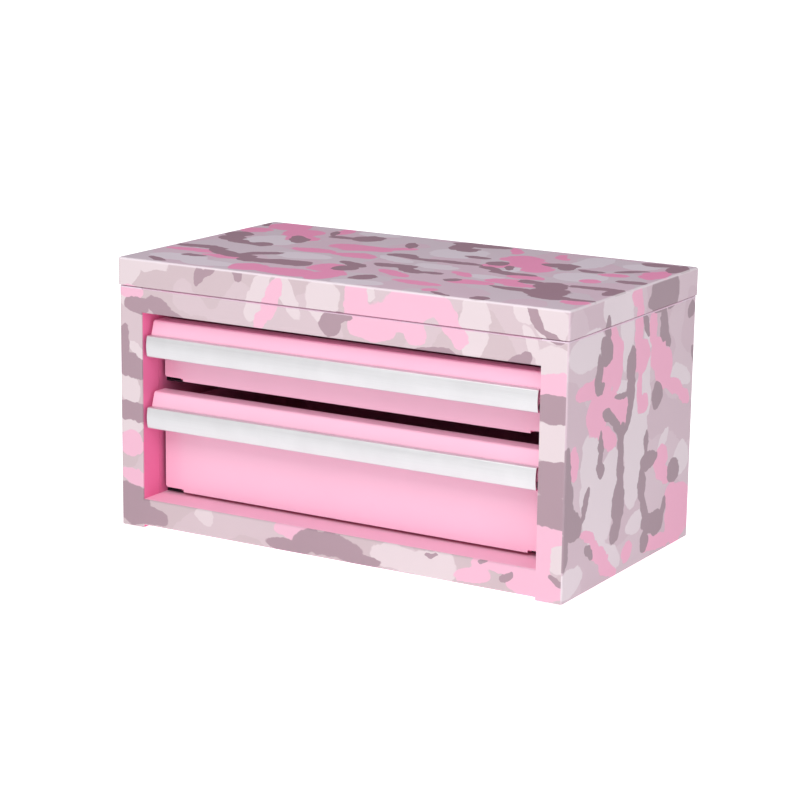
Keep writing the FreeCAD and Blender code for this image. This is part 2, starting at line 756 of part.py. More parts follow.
def hinge_case_leaf():
    """Case leaf, with an ear outside each end of the barrel that stops the open lid."""
    half_length = size["hinge_length"] / 2 + size["knuckle_gap"] + size["ear_thickness"]
    knuckles = (size["knuckle_count"] + 1) / 2
    body = hinge_leaf("hinge_case_leaf", -1, back_outside, as_size(0), knuckles, half_length)
    leaf_outside = back_outside + size["leaf_thickness"]
    start, reach = size["ear_start"], size["ear_reach"]
    corners = [
        (leaf_outside, barrel_z - size["leaf_height"] + size["ear_depth"]),
        (leaf_outside, barrel_z - size["barrel_radius"] - size["leaf_relief"]),
        (barrel_y + start, barrel_z + ear_top(start)), (barrel_y + reach, barrel_z + ear_top(reach)),
        (barrel_y + reach, barrel_z + ear_top(reach) - size["ear_depth"]),
    ]
    for side_name, end in (("left", size["ear_thickness"] - half_length), ("right", half_length)):
        ear = new_sketch(body, f"ear_{side_name}", "YZ_Plane", end)
        draw_outline(ear, corners)
        pad(body, ear, size["ear_thickness"], reverse=True)
    return body


def hinge_lid_leaf():
    """Lid leaf, on the lid's back."""
    knuckles = (size["knuckle_count"] - 1) / 2
    return hinge_leaf("hinge_lid_leaf", 1, lid_rear, as_size(1), knuckles, size["hinge_length"] / 2)


def hinge_pin():
    """The pin through all knuckles."""
    length = size["hinge_length"] - size["knuckle_gap"]
    start = (-length / 2, barrel_y, barrel_z)
    return new_cylinder("hinge_pin", size["hinge_pin_radius"], length, start, ALONG_X)


# Slides

def channel(label, side, low, web, outside, reach):
    """A slide member as a channel that opens towards the drawer: web and reach are measured from the
    liner, outside is its half height, and a lip is turned in at each flange's end."""
    body = new_body(label)
    middle = slide_middle(low)
    wall = size["member_wall"]
    race = outside - wall
    lip_end = race - size["race_lip"]
    half_section = [
        (web, outside), (reach, outside), (reach, lip_end), (reach - wall, lip_end), (reach - wall, race),
        (web + wall, race),
    ]
    upper = [(half_opening - x, middle + z) for x, z in half_section]
    lower = [(half_opening - x, middle - z) for x, z in reversed(half_section)]
    bar_along_y(body, "section", side, upper + lower, slide_front, slide_rear - slide_front)
    return body


def outer_member(label, side, low):
    """Outer member, welded flat on the liner."""
    start, reach = as_size(0), size["outer_reach"]
    return channel(label, side, low, start, half_slide, reach)


def middle_member(label, side, low):
    """Middle member, running between the two rows of balls."""
    start, reach = size["middle_start"], size["middle_reach"]
    return channel(label, side, low, start, middle_outside, reach)


def inner_member(label, side, low):
    """Inner member, riveted to the drawer box; its flanges point to the liner."""
    body = new_body(label)
    middle = slide_middle(low)
    wall = size["member_wall"]
    web = size["slide_thickness"]
    start = size["inner_start"]
    half_section = [
        (start, inner_outside - wall), (start, inner_outside), (web, inner_outside),
    ]
    upper = [(half_opening - x, middle + z) for x, z in half_section]
    lower = [(half_opening - x, middle - z) for x, z in reversed(half_section)]
    recess = half_opening - web + wall
    corners = upper + lower + [
        (recess, middle - inner_outside + wall), (recess, middle + inner_outside - wall),
    ]
    bar_along_y(body, "section", side, corners, slide_front, slide_rear - slide_front)
    drill_slide_wall(body, side, half_box, wall, low)
    return body


def ball_cage(label, side, low, web, row, offset):
    """A cage: a web beside a member's web, and two strips with a square window for each ball."""
    body = new_body(label)
    middle = slide_middle(low)
    half_strip = size["cage_strip"] / 2
    end = offset + size["cage_side"]
    half_section = [
        (web, row + half_strip), (end, row + half_strip), (end, row - half_strip),
        (web + size["cage_web"], row - half_strip),
    ]
    upper = [(half_opening - x, middle + z) for x, z in half_section]
    lower = [(half_opening - x, middle - z) for x, z in reversed(half_section)]
    start = slide_front + size["cage_setback"]
    bar_along_y(body, "section", side, upper + lower, start, size["cage_length"])
    windows = new_sketch(body, "ball_windows", "XY_Plane", middle + row + half_strip)
    half_window = ball_radius + size["pocket_clearance"]
    x, y = side * (half_opening - offset), start + size["first_ball"]
    draw_rectangle(windows, x - half_window, y - half_window, x + half_window, y + half_window)
    first = pocket(body, windows, 2 * (row + half_strip))
    row_length = size["ball_pitch"] * (size["balls_per_row"] - 1)
    pattern(body, [first], "Y_Axis", row_length, size["balls_per_row"])
    return body


def new_ball(label, x, y, z):
    """A ball with flat facets: what three bars of eight sides, one along each axis, have in common."""
    corner_radius = ball_radius / cosine(as_size(180 / BALL_SIDES))
    flat_up = Rotation(Vector(0, 0, 1), 180 / BALL_SIDES)
    bars = []
    for axis, turn in (("x", ALONG_X), ("y", ALONG_Y), ("z", Rotation())):
        start = {"x": x, "y": y, "z": z}
        start[axis] = start[axis] - ball_radius
        bars.append(new_prism(f"{label}_{axis}", BALL_SIDES, corner_radius, size["ball_diameter"],
                              start.values(), turn * flat_up))
    ball = doc.addObject("Part::MultiCommon", label)
    ball.Shapes = bars
    return ball


def ball_set(label, side, low, row, offset):
    """The balls of one cage, in a row above and a row below."""
    middle = slide_middle(low)
    start = slide_front + size["cage_setback"] + size["first_ball"]
    x = side * (half_opening - offset)
    members = []
    for row_name, height in (("high", middle + row), ("low", middle - row)):
        for index in range(round(size["balls_per_row"].value)):
            y = start + index * size["ball_pitch"]
            members.append(new_ball(f"{label}_{row_name}_{index}", x, y, height))
    return group(label, members)


def slide(level, side_name, low):
    """All sub-parts of one slide."""
    side = SIDES[side_name]
    name = f"{level}_{side_name}"
    outer_web = size["member_wall"] + size["cage_web_gap"]
    inner_web = size["middle_start"] + size["member_wall"] + size["cage_web_gap"]
    outer_offset, inner_offset = size["outer_ball_offset"], size["inner_ball_offset"]
    return [
        outer_member(f"{name}_slide_outer", side, low),
        middle_member(f"{name}_slide_middle", side, low),
        inner_member(f"{name}_slide_inner", side, low),
        ball_cage(f"{name}_outer_cage", side, low, outer_web, outer_row, outer_offset),
        ball_cage(f"{name}_inner_cage", side, low, inner_web, inner_row, inner_offset),
        ball_set(f"{name}_outer_balls", side, low, outer_row, outer_offset),
        ball_set(f"{name}_inner_balls", side, low, inner_row, inner_offset),
    ]


# Drawers

def drawer_box(label, low, high):
    """Folded box, open at the top, with a hem turned in round its upper edge."""
    body = new_body(label)
    bottom = low + size["box_lift"]
    height = high - size["box_drop"] - bottom
    outline = new_sketch(body, "outline", "XY_Plane", bottom)
    draw_rectangle(outline, -half_box, box_front, half_box, box_rear)
    pad(body, outline, height)
    hem = 2 * sheet
    mouth = new_sketch(body, "mouth", "XY_Plane", bottom + height)
    draw_rectangle(mouth, hem - half_box, box_front + hem, half_box - hem, box_rear - hem)
    pocket(body, mouth, size["hem_height"])
    hollow = new_sketch(body, "hollow", "XY_Plane", bottom + sheet)
    draw_rectangle(hollow, sheet - half_box, box_front + sheet, half_box - sheet, box_rear - sheet)
    pocket(body, hollow, height - sheet - size["hem_height"], reverse=True)
    for side in SIDES.values():
        drill_slide_wall(body, side, half_box - sheet, sheet, low)
    return body


def lip_front(drop):
    """Front of the pull lip at a drop below the drawer front's top."""
    lean = sine(size["lip_angle"]) / cosine(size["lip_angle"])
    return front_face - size["pull_reach"] - lean * drop


def drawer_front(label, low, high):
    """Folded front: face, flange turned forward at the top, and a pull lip leaning forward. Its
    lower corners are relieved over the slides."""
    body = new_body(label)
    lip_wall = sheet / cosine(size["lip_angle"])
    lip_low = high - size["lip_drop"]
    flange_low = high - sheet
    lip_inside = lip_front(sheet) + lip_wall
    corners = [
        (box_front, low), (box_front, high), (lip_front(as_size(0)), high),
        (lip_front(size["lip_drop"]), lip_low), (lip_front(size["lip_drop"]) + lip_wall, lip_low),
        (lip_inside, flange_low), (front_face, flange_low), (front_face, low),
    ]
    bar_along_x(body, "section", corners, half_front)
    fillet(body, "X", [(box_front, high)], size["bend_radius"])
    fillet(body, "X", [(front_face, flange_low)], size["bend_radius"] - sheet)
    fillet(body, "X", [(lip_front(as_size(0)), high)], size["pull_bend_radius"])
    fillet(body, "X", [(lip_inside, flange_low)], size["pull_bend_radius"] - sheet)
    notch_top = low + size["notch_height"]
    notch_start = half_front - size["notch_width"]
    notches = new_sketch(body, "notches", "XZ_Plane", -front_face)
    for side in SIDES.values():
        draw_rectangle(notches, side * notch_start, low, side * half_front, notch_top)
    pocket(body, notches, sheet)
    corners_above = [(side * half_front, notch_top) for side in SIDES.values()]
    fillet(body, "Y", corners_above, size["front_corner_radius"])
    return body


def pull_trim(label, high):
    """Extruded trim on the pull lip: a convex face, a ledge at its top and a leg behind the lip."""
    body = new_body(label)
    wall = size["trim_wall"]
    half_height = size["trim_height"] / 2
    edge = front + size["trim_setback"]
    top = high - size["trim_drop"]
    bottom = top - size["trim_height"]
    inner_radius = size["trim_radius"] - wall
    inner_half = half_height - wall
    centre = edge + root(size["trim_radius"] * size["trim_radius"] - half_height * half_height)
    inner_edge = centre - root(inner_radius * inner_radius - inner_half * inner_half)
    ledge_end = lip_front(size["trim_drop"] + wall) - size["clip_clearance"]
    leg_top = bottom + size["clip_leg_height"]
    lip_back = lip_front(high - leg_top) + sheet / cosine(size["lip_angle"])
    leg_front = lip_back + size["clip_clearance"]
    corners = [
        (edge, top), (ledge_end, top), (ledge_end, top - wall), (inner_edge, top - wall),
        (inner_edge, bottom + wall), (leg_front, bottom + wall), (leg_front, leg_top),
        (leg_front + wall, leg_top), (leg_front + wall, bottom), (edge, bottom),
    ]
    arcs = {3: (inner_radius, 1), 9: (size["trim_radius"], -1)}
    bar_along_x(body, "section", corners, half_opening - size["trim_side_gap"], arcs)
    fillet(body, "X", [(edge, bottom)], size["trim_lower_radius"])
    fillet(body, "X", [(edge, top)], size["trim_upper_radius"])
    return body


def drawer_mat(label, low):
    """Foam mat on the floor of a drawer box."""
    half = half_box - sheet - size["mat_margin"]
    start = box_front + sheet + size["mat_margin"]
    end = box_rear - sheet - size["mat_margin"]
    floor = low + size["box_lift"] + sheet
    return new_box(label, (-half, start, floor), (half, end, floor + size["mat_thickness"]))


def drawer(level):
    """All sub-parts of one drawer, with its two slides."""
    low, high = DRAWERS[level]
    sub_parts = [
        drawer_box(f"{level}_drawer_box", low, high),
        drawer_front(f"{level}_drawer_front", low, high),
        pull_trim(f"{level}_drawer_trim", high),
        drawer_mat(f"{level}_drawer_mat", low),
        drawer_rivets(f"{level}_drawer_rivets", low),
    ]
    for side_name in SIDES:
        sub_parts += slide(level, side_name, low)
    return sub_parts


# The whole chest

def case():
    """All sub-parts of the case."""
    return [
        side_panel("case_left_side", LEFT),
        side_panel("case_right_side", RIGHT),
        front_rail("top_rail", opening_high, rim, size["rail_return"], sheet + size["rail_rim_width"]),
        front_rail("bottom_rail", rail_low, opening_low, size["rail_return"], size["rail_return"]),
        back_panel(),
        floor_sheet("bottom_pan", pan_low),
        floor_sheet("tray_floor", tray_low),
        slide_liner("left_liner", LEFT),
        slide_liner("right_liner", RIGHT),
        tray_mat(),
        rubber_feet(),
        lid_bumpers(),
        hinge_case_leaf(),
        hinge_pin(),
    ]


def lid():
    """All sub-parts of the lid."""
    return [lid_shell(), hinge_lid_leaf()]


def write_parts(sub_parts):
    """Checks every object of the document, then writes one file for each sub-part."""
    doc.recompute()
    failed = [feature.Name for feature in doc.Objects if {"Invalid", "Error"} & set(feature.State)]
    failed += [part.Label for part in sub_parts if part.Shape.isNull() or not part.Shape.isValid()]
    if failed:
        raise ValueError(f"failed: {failed}")
    os.makedirs("parts", exist_ok=True)
    for part in sub_parts:
        part.Shape.exportStep(f"parts/{part.Label}.step")


write_parts(case() + lid() + drawer("lower") + drawer("upper"))
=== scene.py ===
"""A small two-drawer tool chest of folded sheet steel, dressed for a studio picture.

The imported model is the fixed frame. Its sheets, trims, slides and hinge keep their shapes and get
their finishes here. Finer surfaces stand for the balls, rivets, feet, bumpers and foam mats.
Metres, X to the right, Y to the back, Z up from the surface that the feet stand on.
"""

import logging
import math
from dataclasses import dataclass
from enum import Enum
from functools import cached_property

import bmesh
import bpy
import numpy as np
from mathutils import Matrix, Vector


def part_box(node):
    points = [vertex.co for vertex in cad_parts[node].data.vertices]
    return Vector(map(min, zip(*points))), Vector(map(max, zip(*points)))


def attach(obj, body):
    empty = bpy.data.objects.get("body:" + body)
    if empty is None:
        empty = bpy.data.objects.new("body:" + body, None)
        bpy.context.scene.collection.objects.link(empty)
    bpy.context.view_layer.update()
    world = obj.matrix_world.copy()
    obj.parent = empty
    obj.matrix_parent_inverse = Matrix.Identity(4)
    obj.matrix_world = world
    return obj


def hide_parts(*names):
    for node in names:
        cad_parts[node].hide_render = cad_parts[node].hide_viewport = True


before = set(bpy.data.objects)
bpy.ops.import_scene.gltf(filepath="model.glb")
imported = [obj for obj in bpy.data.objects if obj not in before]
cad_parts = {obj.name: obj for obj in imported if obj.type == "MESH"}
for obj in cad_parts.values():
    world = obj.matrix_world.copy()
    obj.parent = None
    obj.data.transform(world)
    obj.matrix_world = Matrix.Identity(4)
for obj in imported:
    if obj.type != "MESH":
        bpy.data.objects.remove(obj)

LOG = logging.getLogger("tool_chest")
MM = 0.001
Colour = tuple[float, float, float, float]
Tree = bpy.types.NodeTree
Socket = bpy.types.NodeSocket
Inputs = dict[int | str, object]

WHITE = (1.0, 1.0, 1.0, 1.0)
# What a Mix node blends, and the output that gives it. Its A and B are inputs 6 and 7 for colours,
# 4 and 5 for places, and 2 and 3 for numbers.
COLOURS = {"data_type": "RGBA", "output": 2}
PLACES = {"data_type": "VECTOR", "output": 1}
NUMBERS = {"data_type": "FLOAT", "output": 0}
# Blender's noise lies about its middle level, nearly all of it between these two
NOISE_LOW, NOISE_MIDDLE, NOISE_HIGH = 0.3, 0.5, 0.7
# Faces that meet at a smaller angle than this, in degrees, are shaded as one
SMOOTH_ANGLE = 40.0
# Points nearer than this, in metres, are one point
MERGE_DISTANCE = 1e-7


class Side(Enum):
    """The two sides of the chest, seen from the front."""

    LEFT = "left"
    RIGHT = "right"


class Level(Enum):
    """The two drawers."""

    LOWER = "lower"
    UPPER = "upper"


class Row(Enum):
    """The two ball sets of a slide."""

    OUTER = "outer"
    INNER = "inner"


# Colours and nodes


def linear(colour: str) -> Colour:
    """Turns an sRGB hex colour into linear light.

    Args:
        colour: the colour as "#RRGGBB".

    Returns:
        Linear red, green and blue, and an alpha of 1.
    """
    parts = (int(colour[start:start + 2], 16) / 255 for start in (1, 3, 5))
    red, green, blue = (
        part / 12.92 if part <= 0.04045 else ((part + 0.055) / 1.055) ** 2.4 for part in parts
    )
    return red, green, blue, 1.0


def fill(tree: Tree, node: bpy.types.Node, inputs: Inputs) -> None:
    """Fills a node's inputs.

    Args:
        tree: the node's tree.
        node: the node.
        inputs: what goes into its inputs: values, or sockets to link from.
    """
    for name, value in inputs.items():
        if isinstance(value, Socket):
            tree.links.new(value, node.inputs[name])
        else:
            node.inputs[name].default_value = value


def add_node(
    tree: Tree, kind: str, inputs: Inputs | None = None, output: int | str = 0, **settings: object
) -> Socket | None:
    """Adds a node, sets it up and fills its inputs.

    Args:
        tree: the node tree of a material or the world.
        kind: the node's type, without its leading "ShaderNode".
        inputs: what goes into its inputs; see fill.
        output: the output that is wanted.
        **settings: the node's own properties.

    Returns:
        The wanted output, or nothing where the node has none.
    """
    node = tree.nodes.new(f"ShaderNode{kind}")
    for name, value in settings.items():
        setattr(node, name, value)
    fill(tree, node, inputs or {})
    return node.outputs[output] if len(node.outputs) else None


@dataclass(frozen=True)
class Canvas:
    """What a finish is laid on: a material's node tree, its Principled shader, and the place on the
    object in millimetres, which the patterns read."""

    tree: Tree
    shader: bpy.types.Node
    place: Socket

    def add(self, kind: str, *inputs: Inputs, **settings: object) -> Socket | None:
        """Adds a node to the canvas's tree; see add_node."""
        return add_node(self.tree, kind, *inputs, **settings)

    def to_shader(self, inputs: Inputs) -> None:
        """Fills the shader's inputs; see fill."""
        fill(self.tree, self.shader, inputs)


# Finishes


@dataclass(frozen=True)
class Finish:
    """A finish on one Principled shader; each kind of finish adds its own nodes."""

    name: str

    @cached_property
    def material(self) -> bpy.types.Material:
        """The finish as a material, made when it is first asked for.

        Returns:
            A material whose pattern runs in millimetres on Object coordinates.
        """
        made = bpy.data.materials.new(self.name)
        made.use_nodes = True
        tree = made.node_tree
        metres = add_node(tree, "TexCoord", output="Object")
        place = add_node(tree, "VectorMath", {0: metres, "Scale": 1 / MM}, operation="SCALE")
        self.dress(Canvas(tree, tree.nodes["Principled BSDF"], place))
        return made

    def dress(self, canvas: Canvas) -> None:
        """Adds the finish's own nodes and sets the shader up.

        Args:
            canvas: the new material's canvas.
        """
        raise NotImplementedError

    def put_on_nodes(self, *nodes: str) -> None:
        """Puts the finish into the material slots of CAD nodes.

        Args:
            *nodes: the nodes' names.
        """
        for node in nodes:
            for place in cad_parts[node].material_slots:
                place.material = self.material
            LOG.info("%s: %s", node, self.name)

    def put_on_piece(self, piece: bpy.types.Object) -> None:
        """Gives a new piece its only finish."""
        piece.data.materials.append(self.material)
        LOG.info("%s: %s", piece.name, self.name)


@dataclass(frozen=True)
class StovedEnamel(Finish):
    """Powder enamel, electrostatically sprayed and stoved: an even colour with a soft gloss, whose
    faint orange peel breaks up the edges of reflections. A detail is how many finer layers a noise
    has."""

    colour: str = "#FBC2DA"
    roughness: float = 0.38
    gloss: float = 0.3
    coat: float = 0.4
    coat_roughness: float = 0.12
    peel_width: float = 2.2
    peel_height: float = 0.012
    peel_detail: float = 1.0
    drift_width: float = 55.0
    drift_detail: float = 3.0
    drift: float = 0.03

    def dress(self, canvas: Canvas) -> None:
        """Sets the shader up; see Finish.dress.

        Args:
            canvas: the new material's canvas.
        """
        self.spray(canvas, linear(self.colour)[:3])

    def spray(self, canvas: Canvas, colour: object) -> None:
        """Lays a colour on with the enamel's gloss and orange peel. The colour drifts a little over
        the sheet, as the film's thickness does.

        Args:
            canvas: the new material's canvas.
            colour: the colour, or a socket that gives it.
        """
        clouds = canvas.add("TexNoise", {
            "Vector": canvas.place, "Scale": 1 / self.drift_width, "Detail": self.drift_detail,
        })
        level = canvas.add("MapRange", {
            "Value": clouds, "From Min": NOISE_LOW, "From Max": NOISE_HIGH,
            "To Min": 1 - self.drift, "To Max": 1.0,
        })
        drifting = canvas.add("VectorMath", {0: colour, "Scale": level}, operation="SCALE")
        waves = canvas.add("TexNoise", {
            "Vector": canvas.place, "Scale": 1 / self.peel_width, "Detail": self.peel_detail,
        })
        peel = canvas.add("Bump", {"Height": waves, "Distance": self.peel_height * MM, "Strength": 1.0})
        canvas.to_shader({
            "Base Color": drifting, "Roughness": self.roughness, "Specular IOR Level": self.gloss,
            "Coat Weight": self.coat, "Coat Roughness": self.coat_roughness, "Normal": peel,
        })


@dataclass(frozen=True)
class Skin:
    """The outermost surface that carries the print, in millimetres: an upright box with rounded
    corners, so high that its lower end is out of reach. The print also takes in what lies less than
    depth under it, such as the sheets' cut edges, but not their inner faces."""

    half_width: float
    front: float
    rear: float
    top: float
    radius: float
    depth: float = 0.75
    half_height: float = 1000.0


class Sheet(Enum):
    """The faces as they lie side by side on the print's flat film: where along it the middle of each
    is, in millimetres."""

    FRONT = 0.0
    SIDE = 400.0
    TOP = 800.0

    @property
    def begins(self) -> float:
        """Where the sheet begins, half way to the one before it."""
        return self.value - Sheet.SIDE.value / 2


class Grain(Enum):
    """How a patch's lobes lie on the sheet: the tilt of their length in degrees, and how many times
    as long as wide they are."""

    ROUND = (0.0, 1.0)
    LEVEL = (0.0, 2.0)
    STRETCHED = (0.0, 3.4)
    UPRIGHT = (90.0, 2.0)
    TALL = (90.0, 3.4)
    RISING = (35.0, 2.6)
    STEEP = (65.0, 2.6)
    FALLING = (-25.0, 2.6)
    DROPPING = (-60.0, 2.6)

    def straightened(self, across: float, up: float) -> tuple[float, float, float]:
        """Turns a place so that the grain lies level, and stretches its height, so that a lobe of
        this grain becomes a circle.

        Args:
            across: the place across the film.
            up: the place up the film.

        Returns:
            The place on the straightened film.
        """
        tilt, stretch = self.value
        turn = math.radians(tilt)
        along = across * math.cos(turn) + up * math.sin(turn)
        return along, (up * math.cos(turn) - across * math.sin(turn)) * stretch, 0.0


@dataclass(frozen=True)
class Patches:
    """One colour of the print on one sheet: lobes that flow into each other, in millimetres. Each is
    given by its grain, its centre across and up the sheet, and half its length."""

    colour: str
    sheet: Sheet
    lobes: dict[Grain, tuple[tuple[float, float, float], ...]]


@dataclass(frozen=True)
class Ground:
    """The two close shades under the patches of one sheet."""

    sheet: Sheet
    colour: str
    second: str


@dataclass(frozen=True)
class Window:
    """A stretch of a sheet that a piece shows."""

    sheet: Sheet
    left: float
    right: float
    low: float
    high: float

    def shows(self, sheet: Sheet, across: float, up: float, reach: float) -> bool:
        """Tells whether something can be seen in the window.

        Args:
            sheet: the sheet that it is on.
            across: its centre across the sheet.
            up: its centre up the sheet.
            reach: how far it reaches from there.

        Returns:
            Whether any of it can be seen.
        """
        return (
            sheet is self.sheet
            and self.left - reach < across < self.right + reach
            and self.low - reach < up < self.high + reach
        )


@dataclass(frozen=True)
class CamouflagePrint(StovedEnamel):
    """A dipped film print over the enamel: flat colours with crisp edges that overlap in layers, an
    even soft satin with no coat of its own. It covers the outside and the sheets' cut edges, and
    inner faces stay in the enamel's plain colour.

    A swirl is a noise's width and how far it moves the outlines, in millimetres. edge and blend are
    shares of half a lobe's length, and ground_edge is a step of the noise's level. A pale line along
    the rounded top edge is a painted highlight, which starts and is full at two shares of the
    corners' radius.
    """

    roughness: float = 0.5
    gloss: float = 0.07
    coat: float = 0.0
    skin: Skin | None = None
    windows: tuple[Window, ...] = ()
    upright: float = 0.0
    grounds: tuple[Ground, ...] = ()
    ground_width: float = 34.0
    ground_detail: float = 0.0
    ground_edge: float = 0.005
    edge: float = 0.03
    blend: float = 0.3
    # A painted highlight, a pale line along the rounded top edge: its strength, its colour, and the shares
    # of the corners' radius where it starts and is full
    painted_edge_highlight: float = 0.0
    painted_edge_highlight_colour: str = "#F6ECF1"
    painted_edge_highlight_start: float = 0.15
    painted_edge_highlight_full: float = 0.6
    swirls: tuple[tuple[float, float], ...] = ((22.0, 9.0), (7.0, 3.2), (2.6, 1.5))
    swirl_detail: float = 1.0
    patches: tuple[Patches, ...] = ()

    def dress(self, canvas: Canvas) -> None:
        """Sets the shader up; see Finish.dress.

        Args:
            canvas: the new material's canvas.
        """
        away = self.beyond_core(canvas)
        # A painted highlight along the rounded top edge, mixed over the print
        painted_edge_highlight = self.on_painted_edge_highlight(canvas, away)
        printed = canvas.add(
            "Mix", {"Factor": painted_edge_highlight, 6: self.print_colour(canvas), 7: linear(self.painted_edge_highlight_colour)}, **COLOURS
        )
        colour = canvas.add(
            "Mix", {"Factor": self.outside(canvas, away), 6: linear(self.colour), 7: printed}, **COLOURS
        )
        self.spray(canvas, colour)

    def beyond_core(self, canvas: Canvas) -> Socket:
        """Measures how far a place lies beyond the skin's core, the box that its rounded corners turn
        about: |place - centre| - half of the core, and nothing less than 0.

        Args:
            canvas: the new material's canvas.

        Returns:
            The distance beyond the core along each axis.
        """
        skin = self.skin
        centre = (0.0, (skin.front + skin.rear) / 2, skin.top - skin.half_height)
        halves = (skin.half_width, (skin.rear - skin.front) / 2, skin.half_height)
        core = tuple(half - skin.radius for half in halves)
        away = canvas.add("VectorMath", {0: canvas.place, 1: centre}, operation="SUBTRACT")
        away = canvas.add("VectorMath", {0: away}, operation="ABSOLUTE")
        away = canvas.add("VectorMath", {0: away, 1: core}, operation="SUBTRACT")
        return canvas.add("VectorMath", {0: away, 1: (0.0, 0.0, 0.0)}, operation="MAXIMUM")

    def outside(self, canvas: Canvas, away: Socket) -> Socket:
        """Tells where the print lies: wherever the length of away comes near the corners' radius.

        Args:
            canvas: the new material's canvas.
            away: the distance beyond the core along each axis.

        Returns:
            1 where the print lies and 0 inside.
        """
        reach = canvas.add("VectorMath", {0: away}, output="Value", operation="LENGTH")
        limit = self.skin.radius - self.skin.depth
        return canvas.add("Math", {0: reach, 1: limit}, operation="GREATER_THAN")

    def on_painted_edge_highlight(self, canvas: Canvas, away: Socket) -> Socket:
        """Tells where the painted highlight lies, a pale line along the rounded top edge that stands for
        the light caught there: there away has both an upward and a level part.

        Args:
            canvas: the new material's canvas.
            away: the distance beyond the core along each axis.

        Returns:
            How much of the painted highlight shows, from 0 to its full share.
        """
        x, y, z = canvas.add("SeparateXYZ", {0: away}).node.outputs
        level = canvas.add("Math", {0: x, 1: y}, operation="MAXIMUM")
        both = canvas.add("Math", {0: level, 1: z}, operation="MINIMUM")
        radius = self.skin.radius
        return canvas.add("MapRange", {
            "Value": both, "From Min": self.painted_edge_highlight_start * radius, "From Max": self.painted_edge_highlight_full * radius,
            "To Max": self.painted_edge_highlight,
        })

    def on_film(self, canvas: Canvas) -> Socket:
        """Finds the place on the flat film: across and up the sheet of the face that the place is on.
        The front lies on its own sheet, both sides on one, turned half round for the left, and the
        top on a third, which the back takes standing up.

        Args:
            canvas: the new material's canvas.

        Returns:
            The place on the film, with nothing in its third number.
        """
        skin = self.skin
        x, y, z = canvas.add("SeparateXYZ", {0: canvas.place}).node.outputs
        hand = canvas.add("Math", {0: x}, operation="SIGN")
        turned_y = canvas.add("Math", {0: y, 1: hand}, operation="MULTIPLY")
        side_across = canvas.add("Math", {0: turned_y, 1: Sheet.SIDE.value}, operation="ADD")
        top_across = canvas.add("Math", {0: x, 1: Sheet.TOP.value}, operation="ADD")
        back_up = canvas.add("Math", {0: z, 1: self.upright}, operation="SUBTRACT")
        width = canvas.add("Math", {0: x}, operation="ABSOLUTE")
        film = canvas.add("CombineXYZ", {0: x, 1: z})
        for reach, face, across, up in (
            (y, skin.rear, top_across, back_up), (width, skin.half_width, side_across, z),
            (z, skin.top, top_across, y),
        ):
            on_face = canvas.add("Math", {0: reach, 1: face - skin.radius / 2}, operation="GREATER_THAN")
            sheet = canvas.add("CombineXYZ", {0: across, 1: up})
            film = canvas.add("Mix", {"Factor": on_face, 4: film, 5: sheet}, **PLACES)
        return film

    def stirred(self, canvas: Canvas, film: Socket) -> Socket:
        """Moves the place on the film about by noise, so that outlines wander.

        Args:
            canvas: the new material's canvas.
            film: the place on the film, in millimetres.

        Returns:
            The moved place.
        """
        moved = film
        for width, strength in self.swirls:
            swirl = canvas.add(
                "TexNoise", {"Vector": film, "Scale": 1 / width, "Detail": self.swirl_detail}, output="Color"
            )
            swirl = canvas.add("VectorMath", {0: swirl, 1: (NOISE_MIDDLE,) * 3}, operation="SUBTRACT")
            swirl = canvas.add("VectorMath", {0: swirl, 1: (strength, strength, 0.0)}, operation="MULTIPLY")
            moved = canvas.add("VectorMath", {0: moved, 1: swirl}, operation="ADD")
        return moved

    def straightened_films(self, canvas: Canvas, film: Socket) -> dict[Grain, Socket]:
        """Straightens the film for each grain; see Grain.straightened.

        Args:
            canvas: the new material's canvas.
            film: the place on the film, in millimetres.

        Returns:
            For each grain the place on its straightened film.
        """
        films = {}
        for grain in Grain:
            tilt, stretch = grain.value
            turn, scale = (0.0, 0.0, math.radians(tilt)), (1.0, 1 / stretch, 1.0)
            films[grain] = canvas.add(
                "Mapping", {"Vector": film, "Rotation": turn, "Scale": scale}, vector_type="TEXTURE"
            )
        return films

    def print_colour(self, canvas: Canvas) -> Socket:
        """Lays the print's colours over the ground, each inside the outline of its own patches.

        Args:
            canvas: the new material's canvas.

        Returns:
            The print's colour.
        """
        film = self.stirred(canvas, self.on_film(canvas))
        films = self.straightened_films(canvas, film)
        colour = self.ground_colour(canvas, film)
        for patches in self.patches:
            nearest = self.nearest_lobe(canvas, films, patches)
            if nearest is not None:
                inside = canvas.add(
                    "MapRange", {"Value": nearest, "From Min": 1 + self.edge, "From Max": 1 - self.edge}
                )
                colour = canvas.add(
                    "Mix", {"Factor": inside, 6: colour, 7: linear(patches.colour)}, **COLOURS
                )
        return colour

    def ground_colour(self, canvas: Canvas, film: Socket) -> Socket:
        """Lays the grounds side by side on their sheets, each with its two shades in broad clouds.

        Args:
            canvas: the new material's canvas.
            film: the stirred place on the film.

        Returns:
            The ground's colour.
        """
        clouds = canvas.add(
            "TexNoise", {"Vector": film, "Scale": 1 / self.ground_width, "Detail": self.ground_detail}
        )
        second = canvas.add("MapRange", {
            "Value": clouds, "From Min": NOISE_MIDDLE, "From Max": NOISE_MIDDLE + self.ground_edge,
        })
        across = canvas.add("SeparateXYZ", {0: film})
        colour = linear(self.grounds[0].colour)
        for ground in self.grounds:
            on_sheet = canvas.add("Math", {0: across, 1: ground.sheet.begins}, operation="GREATER_THAN")
            shades = canvas.add(
                "Mix", {"Factor": second, 6: linear(ground.colour), 7: linear(ground.second)}, **COLOURS
            )
            colour = canvas.add("Mix", {"Factor": on_sheet, 6: colour, 7: shades}, **COLOURS)
        return colour

